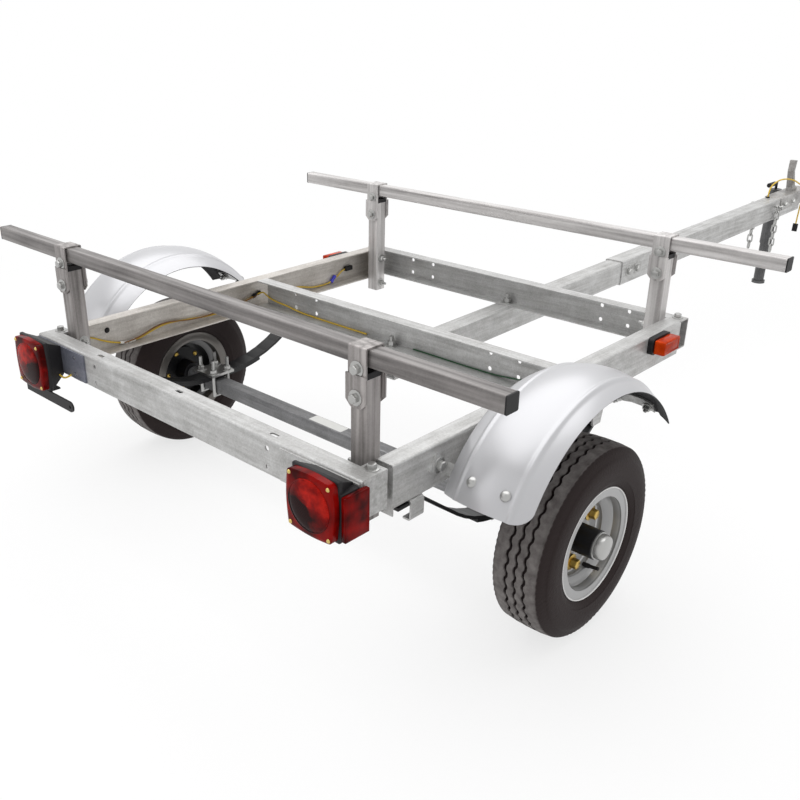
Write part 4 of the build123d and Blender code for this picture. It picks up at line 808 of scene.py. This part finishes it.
def eye_finish():
    """The lens's own red inside its round eye, with painted light: brighter towards the top and the outer side, and a
    painted dark patch towards the inner, lower side, standing in for a reflector's reflection.
    """
    material = red_lens.copy()
    material.name = "red_lens_eye"
    tree = material.node_tree
    place = object_place(tree)
    parts = add_node(tree, "SeparateXYZ", {0: place}).outputs
    outward = add_node(tree, "Math", {0: parts["X"]}, operation="ABSOLUTE")
    local = add_node(tree, "CombineXYZ", {"X": outward, "Z": parts["Z"]})
    centred = add_node(tree, "VectorMath", {0: local, 1: (lamp_x, 0, lamp_z)}, operation="SUBTRACT")
    unit = add_node(tree, "VectorMath", {0: centred}, operation="NORMALIZE")
    # Painted light: the eye's red is brighter towards the top and the outer side.
    lit = add_node(tree, "VectorMath", {0: unit, 1: (0.42, 0, 0.90)}, operation="DOT_PRODUCT")
    shade = add_node(tree, "MapRange", {"From Min": -1.0, "To Min": -0.42, "To Max": 0.22, "Value": lit})
    # Painted shade: a dark patch towards the inner, lower side of the eye.
    back = add_node(tree, "VectorMath", {0: unit, 1: (-0.90, 0, -0.42)}, operation="DOT_PRODUCT")
    dark = add_node(tree, "MapRange", {"From Min": 0.62, "From Max": 0.92, "To Max": 0.45, "Value": back})
    painted_reflection_patches = add_node(tree, "TexNoise", {"Scale": 38, "Detail": 3, "Vector": place})
    mottled_painted_light = add_node(tree, "Math", {0: painted_reflection_patches, 1: 1.2, 2: shade}, operation="MULTIPLY_ADD")
    tone = add_node(tree, "Math", {0: mottled_painted_light, 1: dark}, operation="SUBTRACT")
    # The ramp turns the painted light and shade, mottled by noise, into dark, mid and bright red; the bright end is a
    # painted highlight.
    ramp = add_node(tree, "ValToRGB", {"Fac": tone})
    first, last = ramp.color_ramp.elements
    first.position = 0.20
    first.color = (0.014, 0.001, 0.001, 1)
    last.color = (0.56, 0.016, 0.008, 1)
    ramp.color_ramp.elements.new(0.62).color = (0.17, 0.002, 0.0015, 1)
    fill(tree, tree.nodes["Principled BSDF"], {"Base Color": ramp})
    return material


def lens_tray():
    """A square tray with bowed edges and a raised face, lying on XY and facing +Z."""
    bpy.ops.object.select_all(action="DESELECT")
    bpy.ops.mesh.primitive_cube_add(size=1, location=(0, 0, -lens_depth / 2))
    tray = bpy.context.object
    tray.scale = (2 * lamp_half_width - 0.004, 2 * lamp_half_height - 0.004, lens_depth - 0.0004)
    bpy.ops.object.transform_apply(location=True, scale=True)
    pick_edges(tray, lambda a, b: abs(a.z - b.z) > lens_depth / 2)
    bpy.ops.mesh.bevel(offset=0.009, segments=5)
    to_mode("OBJECT")
    pick_edges(tray, lambda a, b: (a - b).length > 0.05)
    bpy.ops.mesh.subdivide(number_cuts=9)
    to_mode("OBJECT")
    bow = tray.modifiers.new("bow", "CAST")
    bow.cast_type = "CYLINDER"
    bow.use_z = False
    bow.factor = 0.22
    bpy.ops.object.modifier_apply(modifier="bow")
    pick_faces(tray, lambda face: face.normal.z > 0.99)
    bpy.ops.mesh.inset(thickness=0.0025, depth=0.0012)
    bpy.ops.mesh.inset(thickness=0.004, depth=0.0008)
    to_mode("OBJECT")
    return tray


eye_outline = [
    (0.0014, 0.0500), (0.0030, 0.0496), (0.0034, 0.0482), (0.0026, 0.0470),
    (0.0034, 0.0450), (0.0046, 0.0380), (0.0054, 0.0280), (0.0059, 0.0150),
    (0.0060, 0.0000),
]
screw_x = 0.0465
screw_z = 0.0485
screw_sink = 0.0018
lens_places = []
screw_places = []
cheeks = []
housings = []
for side in (-1, 1):
    middle_x = side * lamp_x
    lens_places.append(((middle_x, lens_face_y, lamp_z), (0, -1, 0)))
    for across in (-screw_x, screw_x):
        for up in (-screw_z, screw_z):
            screw_places.append(((middle_x + across, lens_face_y - screw_sink, lamp_z + up), (0, -1, 0)))
    outer_x = middle_x + side * lamp_half_width
    lens_x = sorted((outer_x + side * 0.0036, outer_x + side * 0.0140))
    side_low = (lens_x[0], lens_face_y + 0.0142, side_lens_z - 0.0430)
    side_high = (lens_x[1], lens_face_y + 0.0738, side_lens_z + 0.0430)
    cheek = rounded_block(side_low, side_high, 0.0022)
    pick_faces(cheek, lambda face: face.normal.x * side > 0.99 and face.area > 0.001)
    bpy.ops.mesh.inset(thickness=0.004, depth=0.001)
    to_mode("OBJECT")
    cheeks.append(cheek)
    box_low = (middle_x - lamp_half_width, lens_face_y + lens_depth, lamp_z - lamp_half_height)
    box_high = (middle_x + lamp_half_width, lens_face_y + lens_depth + 0.010, lamp_z + lamp_half_height)
    shell = rounded_block(box_low, box_high, 0.003)
    pick_faces(shell, lambda face: face.normal.y > 0.99 and face.area > 0.005)
    bpy.ops.mesh.extrude_region_move(
        TRANSFORM_OT_translate={"value": (0, lamp_back_y - box_high[1], 0.004)}
    )
    bpy.ops.transform.resize(value=(0.82, 1, 0.62))
    to_mode("OBJECT")
    carrier_x = sorted((outer_x - side * 0.012, outer_x + side * 0.0035))
    carrier_low = (carrier_x[0], lens_face_y + lens_depth + 0.001, side_lens_z - 0.0450)
    carrier = rounded_block(carrier_low, (carrier_x[1], lamp_back_y, side_lens_z + 0.0450), 0.002)
    housings.extend([shell, carrier])
eye = turned(eye_outline, Vector((0, 0, 0)), 48)
eye.data.transform(Matrix.Rotation(radians(-90), 4, "Y"))
eyes = settle(set_out(eye, lens_places), "tail_lamp_eyes", eye_finish(), "frame")
trays = set_out(lens_tray(), lens_places)
lenses = settle(joined([trays] + cheeks), "tail_lamp_lens_mouldings", red_lens, "frame")
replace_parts(lenses, "tail_lamp_lenses")
shells = settle(joined(housings), "tail_lamp_shells", moulded_black, "frame")
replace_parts(shells, "tail_lamp_housings")
settle(set_out(dome_head(0.0044), screw_places), "tail_lamp_screws", brass, "frame")

# Licence bracket: a black moulded bar under the left lamp, stiffened by ribs up to the lamp's underside.
# The lamp's own wire loops into the crossmember beside it.
dress(moulded_black, "licence_bracket")
first_rib_x = -0.500
rib_pitch = 0.016
rib_half = 0.0015
rib_bottom = 0.3585
rib_top = 0.3740
ribs = []
for index in range(5):
    rib_x = first_rib_x + rib_pitch * index
    rib_low = (rib_x - rib_half, lens_face_y + 0.0145, rib_bottom)
    ribs.append(rounded_block(rib_low, (rib_x + rib_half, lens_face_y + 0.0300, rib_top), 0.0006, 2))
settle(joined(ribs), "licence_bracket_ribs", moulded_black, "frame")

# Side markers: amber acrylic lenses on black bases, screwed to the rails.
# The lens has a raised rim and fine moulded lines.
# The amber lens's bright and dark tones are painted reflection, laid in random patches.
amber_lens = lens_finish("amber_lens", (0.66, 0.058, 0.003), (0.34, 0.022, 0.002))
dress(moulded_black, "side_marker_bases")
marker_low, marker_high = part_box("side_marker_lenses")
marker_base_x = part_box("side_marker_bases")[1].x
marker_lenses = []
for side in (-1, 1):
    span = sorted((side * (marker_base_x + 0.0003), side * marker_high.x))
    block_low = (span[0], marker_low.y, marker_low.z)
    marker = rounded_block(block_low, (span[1], marker_high.y, marker_high.z), 0.0035)
    pick_faces(marker, lambda face: face.normal.x * side > 0.99 and face.area > 0.0005)
    bpy.ops.mesh.inset(thickness=0.0035, depth=-0.0014)
    bpy.ops.mesh.inset(thickness=0.0050, depth=0.0012)
    to_mode("OBJECT")
    marker_lenses.append(marker)
ambers = settle(joined(marker_lenses), "side_marker_mouldings", amber_lens, "frame")
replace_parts(ambers, "side_marker_lenses")

# Coupler and latch: zinc-plated pressings bolted over the tongue's front end.
# The lever stands up, as it does with the ball released.
plated_zinc = zinc_finish("plated_zinc", (0.50, 0.49, 0.475), (0.19, 0.18, 0.175), (30, 8, 30))
dress(plated_zinc, "coupler_body", "coupler_latch")
coupler_half = 0.036
coupler_bolt_z = 0.395
coupler_bolts = []
for side in (-1, 1):
    for along in (2.650, 2.735):
        coupler_bolts.append(((side * coupler_half, axle_y + along, coupler_bolt_z), (side, 0, 0)))
bolted("coupler_bolts", hex_head(0.017, 0.010), coupler_bolts)

# Jack: a zinc-plated tube clamped beside the coupler, with its leg run down inside it.
# The crank on top has a black grip.
dull_zinc = zinc_finish("dull_zinc", (0.13, 0.13, 0.133), (0.045, 0.045, 0.046), (70, 70, 5))
dress(dull_zinc, "jack_tube", "jack_leg")
dress(moulded_black, "jack_crank")

# Safety chains: welded links of zinc-plated wire, hung from a bolt on each side of the tongue.
# Each chain ends in an open hook.
dress(bright_zinc, "chain_bolts")
link_wire = 0.0032
link_half_width = 0.006 + link_wire
link_pitch = 0.0274
chain_x = sleeve_x + 0.014
chain_y = axle_y + 2.548
first_link_z = 0.3893


def chain_link():
    """A ring of wire drawn out into a link, long in Y."""
    bpy.ops.object.select_all(action="DESELECT")
    bpy.ops.mesh.primitive_torus_add(
        major_radius=link_half_width, minor_radius=link_wire, major_segments=28, minor_segments=10
    )
    piece = bpy.context.object
    for way in (-1, 1):
        pick_faces(piece, lambda face: face.center.y * way > 0)
        bpy.ops.transform.translate(value=(0, way * 0.008, 0))
        to_mode("OBJECT")
    return piece


def bent_wire(points, diameter):
    """A round wire along a smooth line through a row of points, made into a mesh."""
    curve = bpy.data.curves.new("wire_line", "CURVE")
    curve.dimensions = "3D"
    curve.bevel_depth = diameter / 2
    curve.bevel_resolution = 2
    curve.use_fill_caps = True
    spline = curve.splines.new("NURBS")
    spline.points.add(len(points) - 1)
    for point, place in zip(spline.points, points):
        point.co = (*place, 1)
    spline.order_u = 3
    spline.use_endpoint_u = True
    spline.resolution_u = 6
    piece = bpy.data.objects.new("wire_line", curve)
    bpy.context.collection.objects.link(piece)
    only(piece)
    bpy.ops.object.convert(target="MESH")
    return bpy.context.object


link_count = 7
hook_steps = (
    # Y and Z from the hook's eye
    (0.000, 0.000), (0.000, -0.034), (0.002, -0.046), (0.013, -0.050),
    (0.024, -0.046), (0.026, -0.034), (0.029, -0.016),
)
master_link = chain_link()
hang = Matrix.Rotation(radians(90), 4, "X")
chain_pieces = []
for side in (-1, 1):
    for index in range(link_count):
        turn = Matrix.Rotation(radians(0 if index % 2 else 90), 4, "Z")
        place = Matrix.Translation((side * chain_x, chain_y, first_link_z - index * link_pitch))
        copy = bpy.data.objects.new("chain_link", master_link.data.copy())
        bpy.context.collection.objects.link(copy)
        copy.data.transform(place @ turn @ hang)
        chain_pieces.append(copy)
    eye_z = first_link_z - (link_count - 1) * link_pitch - 0.014
    hook_line = [(side * chain_x, chain_y + step, eye_z + drop) for step, drop in hook_steps]
    chain_pieces.append(bent_wire(hook_line, 2 * link_wire))
bpy.data.objects.remove(master_link)
chains = settle(joined(chain_pieces), "chain_links", bright_zinc, "frame")
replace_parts(chains, "safety_chains")

# Wiring: yellow, brown and green wires lie loose in the left rail and the middle crossmember.
# The brown one runs beside the yellow one in the rail; splices and a small black plug sit on the yellow ones.
wire_brown = plain_finish("wire_brown", (0.20, 0.085, 0.02), 0.5)
wire_green = plain_finish("wire_green", (0.02, 0.09, 0.035), 0.5)
splice_white = plain_finish("splice_white", (0.75, 0.74, 0.70), 0.5)
splice_blue = plain_finish("splice_blue", (0.06, 0.06, 0.55), 0.4)
web_x = -(rail_high.x - 0.0075)
web_y = middle_high.y - 0.0060
rail_steps = (
    # Y from the axle, Z
    (-0.4820, 0.4360), (-0.4300, 0.4370), (-0.3900, 0.4360), (-0.3576, 0.4300),
    (-0.3365, 0.4180), (-0.3035, 0.4028), (-0.2690, 0.3936), (-0.2450, 0.3925),
    (-0.2200, 0.3940), (-0.1944, 0.4006), (-0.1652, 0.4085), (-0.1360, 0.4119),
    (-0.1069, 0.4109), (-0.0775, 0.4080), (-0.0476, 0.4050), (-0.0152, 0.4015),
    (0.0311, 0.3990), (0.0900, 0.4040), (0.1545, 0.4147), (0.1800, 0.4230),
)
cross_steps = (
    # X, Z
    (-0.5100, 0.4300), (-0.4994, 0.4274), (-0.4796, 0.4177), (-0.4477, 0.4131),
    (-0.4074, 0.4112), (-0.3688, 0.4058), (-0.3300, 0.4037), (-0.2592, 0.4030),
    (-0.1777, 0.4030), (-0.1000, 0.4032),
)
front_steps = (
    # Y from the axle, Z
    (0.2300, 0.4240), (0.3000, 0.4160), (0.3629, 0.4063), (0.4010, 0.3953),
    (0.4426, 0.3930), (0.4756, 0.3943), (0.4915, 0.4034), (0.5136, 0.4084),
    (0.5252, 0.4205), (0.5467, 0.4255),
)
green_steps = (
    # X, Z
    (0.0600, 0.4030), (0.1384, 0.4030), (0.1932, 0.4026), (0.2571, 0.4028),
    (0.3182, 0.4040), (0.3711, 0.4104), (0.4300, 0.4180), (0.4950, 0.4220),
)
rail_line = [(web_x, axle_y + y, z) for y, z in rail_steps]
cross_line = [(x, web_y, z) for x, z in cross_steps]
front_line = [(web_x, axle_y + y, z) for y, z in front_steps]
green_line = [(x, web_y, z) for x, z in green_steps]
yellow_diameter = 0.0044
pair_line = [(x + 0.0042, y, z + 0.0035 + 0.004 * sin(26 * (y - axle_y))) for x, y, z in rail_line[6:]]
lamp_loop = [
    (-lamp_x + 0.040, lamp_back_y - 0.012, 0.404),
    (-lamp_x + 0.062, lamp_back_y - 0.014, 0.398),
    (-lamp_x + 0.074, lamp_back_y - 0.006, 0.402),
    (-lamp_x + 0.080, lamp_back_y + 0.006, 0.410),
]
yellow_wires = [bent_wire(line, yellow_diameter) for line in (rail_line + cross_line, front_line, lamp_loop)]
loom = settle(joined(yellow_wires), "loom_yellow_wires", wire_yellow, "frame")
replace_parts(loom, "wiring_loom")
settle(bent_wire(pair_line, 0.0036), "loom_brown_wire", wire_brown, "frame")
settle(bent_wire(green_line, 0.0034), "loom_green_wire", wire_green, "frame")


def splice(point, along, diameter, length):
    """A crimped sleeve on a wire: a cylinder waisted in its middle."""
    outline = [
        (-length / 2, 0.0),
        (-length / 2, diameter / 2),
        (-length / 6, diameter / 2),
        (0.0, diameter * 0.38),
        (length / 6, diameter / 2),
        (length / 2, diameter / 2),
        (length / 2, 0.0),
    ]
    piece = turned(outline, Vector((0, 0, 0)), 16)
    turn = Vector((1, 0, 0)).rotation_difference(Vector(along)).to_matrix().to_4x4()
    piece.data.transform(Matrix.Translation(Vector(point)) @ turn)
    return piece


white_splices = [splice(rail_line[6], (0, 1, -0.2), 0.008, 0.022), splice(rail_line[7], (0, 1, 0.1), 0.008, 0.020)]
settle(joined(white_splices), "white_splices", splice_white, "frame")
blue_splice = splice(front_line[6], (0, 0.7, 0.7), 0.011, 0.024)
settle(blue_splice, "blue_splice", splice_blue, "frame")
plug_low = Vector(front_line[9]) - Vector((0.0035, 0.004, 0.007))
plug = rounded_block(plug_low, plug_low + Vector((0.011, 0.030, 0.014)), 0.002)
tape = splice(rail_line[-1], (0, 1, 0.3), 0.011, 0.030)
grommet = dome_head(0.008)
grommet_place = Matrix.Translation((web_x - 0.0043, axle_y - 0.311, 0.4366))
grommet.data.transform(grommet_place @ Matrix.Rotation(radians(90), 4, "Y"))
settle(joined([plug, tape, grommet]), "wire_plug_and_tape", moulded_black, "frame")


# Studio: a pale floor that keeps the trailer's shadow, a white surround and large soft lamps.
# The surround is white where it is seen or mirrored, and gives its light mostly from above.
def shown_rays(tree):
    """1 for rays from the camera and for those that metal or glass sends on, 0 for the rest."""
    seen = tree.nodes.new("ShaderNodeLightPath").outputs
    clear = add_node(tree, "Math", {0: seen["Is Glossy Ray"], 1: seen["Is Transmission Ray"]}, operation="MAXIMUM")
    return add_node(tree, "Math", {0: seen["Is Camera Ray"], 1: clear}, operation="MAXIMUM")


def floor_finish():
    """Nearly white to the camera, with the shadow mixed in near the trailer."""
    material = plain_finish("studio_floor", (0.82, 0.82, 0.82), 0.9)
    tree = material.node_tree
    reach = add_node(tree, "VectorMath", {0: object_place(tree)}, operation="LENGTH")
    levels = {"From Min": 0.9, "From Max": 3.0, "To Min": 0.74, "Value": reach}
    fade = add_node(tree, "MapRange", levels, interpolation_type="SMOOTHSTEP")
    share = add_node(tree, "Math", {0: fade, 1: shown_rays(tree)}, operation="MULTIPLY")
    glow = add_node(tree, "Emission", {})
    mix = add_node(tree, "MixShader", {"Fac": share, 1: tree.nodes["Principled BSDF"], 2: glow})
    fill(tree, tree.nodes["Material Output"], {"Surface": mix})
    return material


bpy.ops.object.select_all(action="DESELECT")
bpy.ops.mesh.primitive_plane_add(size=60, location=(0, axle_y, 0))
floor = bpy.context.object
floor.name = "studio_floor"
floor.data.materials.append(floor_finish())
floor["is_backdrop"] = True

world = bpy.data.worlds.new("studio")
bpy.context.scene.world = world
world.use_nodes = True
air = world.node_tree
around = air.nodes.new("ShaderNodeTexCoord")
height = add_node(air, "SeparateXYZ", {0: around.outputs["Generated"]})
levels = {"From Min": -0.05, "From Max": 0.60, "To Min": 0.16, "To Max": 0.90, "Value": height.outputs["Z"]}
glow = add_node(air, "MapRange", levels, interpolation_type="SMOOTHSTEP")
level = add_node(air, "Mix", {"Factor": shown_rays(air), "A": glow, "B": 1.0})
fill(air, air.nodes["Background"], {"Color": (1, 1, 1, 1), "Strength": level})

aim = Vector((0, axle_y, 0.4))
for name, place, size, power in (
    # lamp, place, size in metres, power in watts
    ("overhead", (-0.5, axle_y + 0.4, 3.6), 5.0, 118),
    ("rear_left_key", (-1.9, axle_y - 3.2, 2.4), 2.0, 8),
):
    turn = (aim - Vector(place)).to_track_quat("-Z", "Y").to_euler()
    bpy.ops.object.light_add(type="AREA", location=place, rotation=turn)
    lamp = bpy.context.object
    lamp.name = name
    lamp.data.size = size
    lamp.data.energy = power

bpy.context.scene.view_settings.view_transform = "Standard"
low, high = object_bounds()
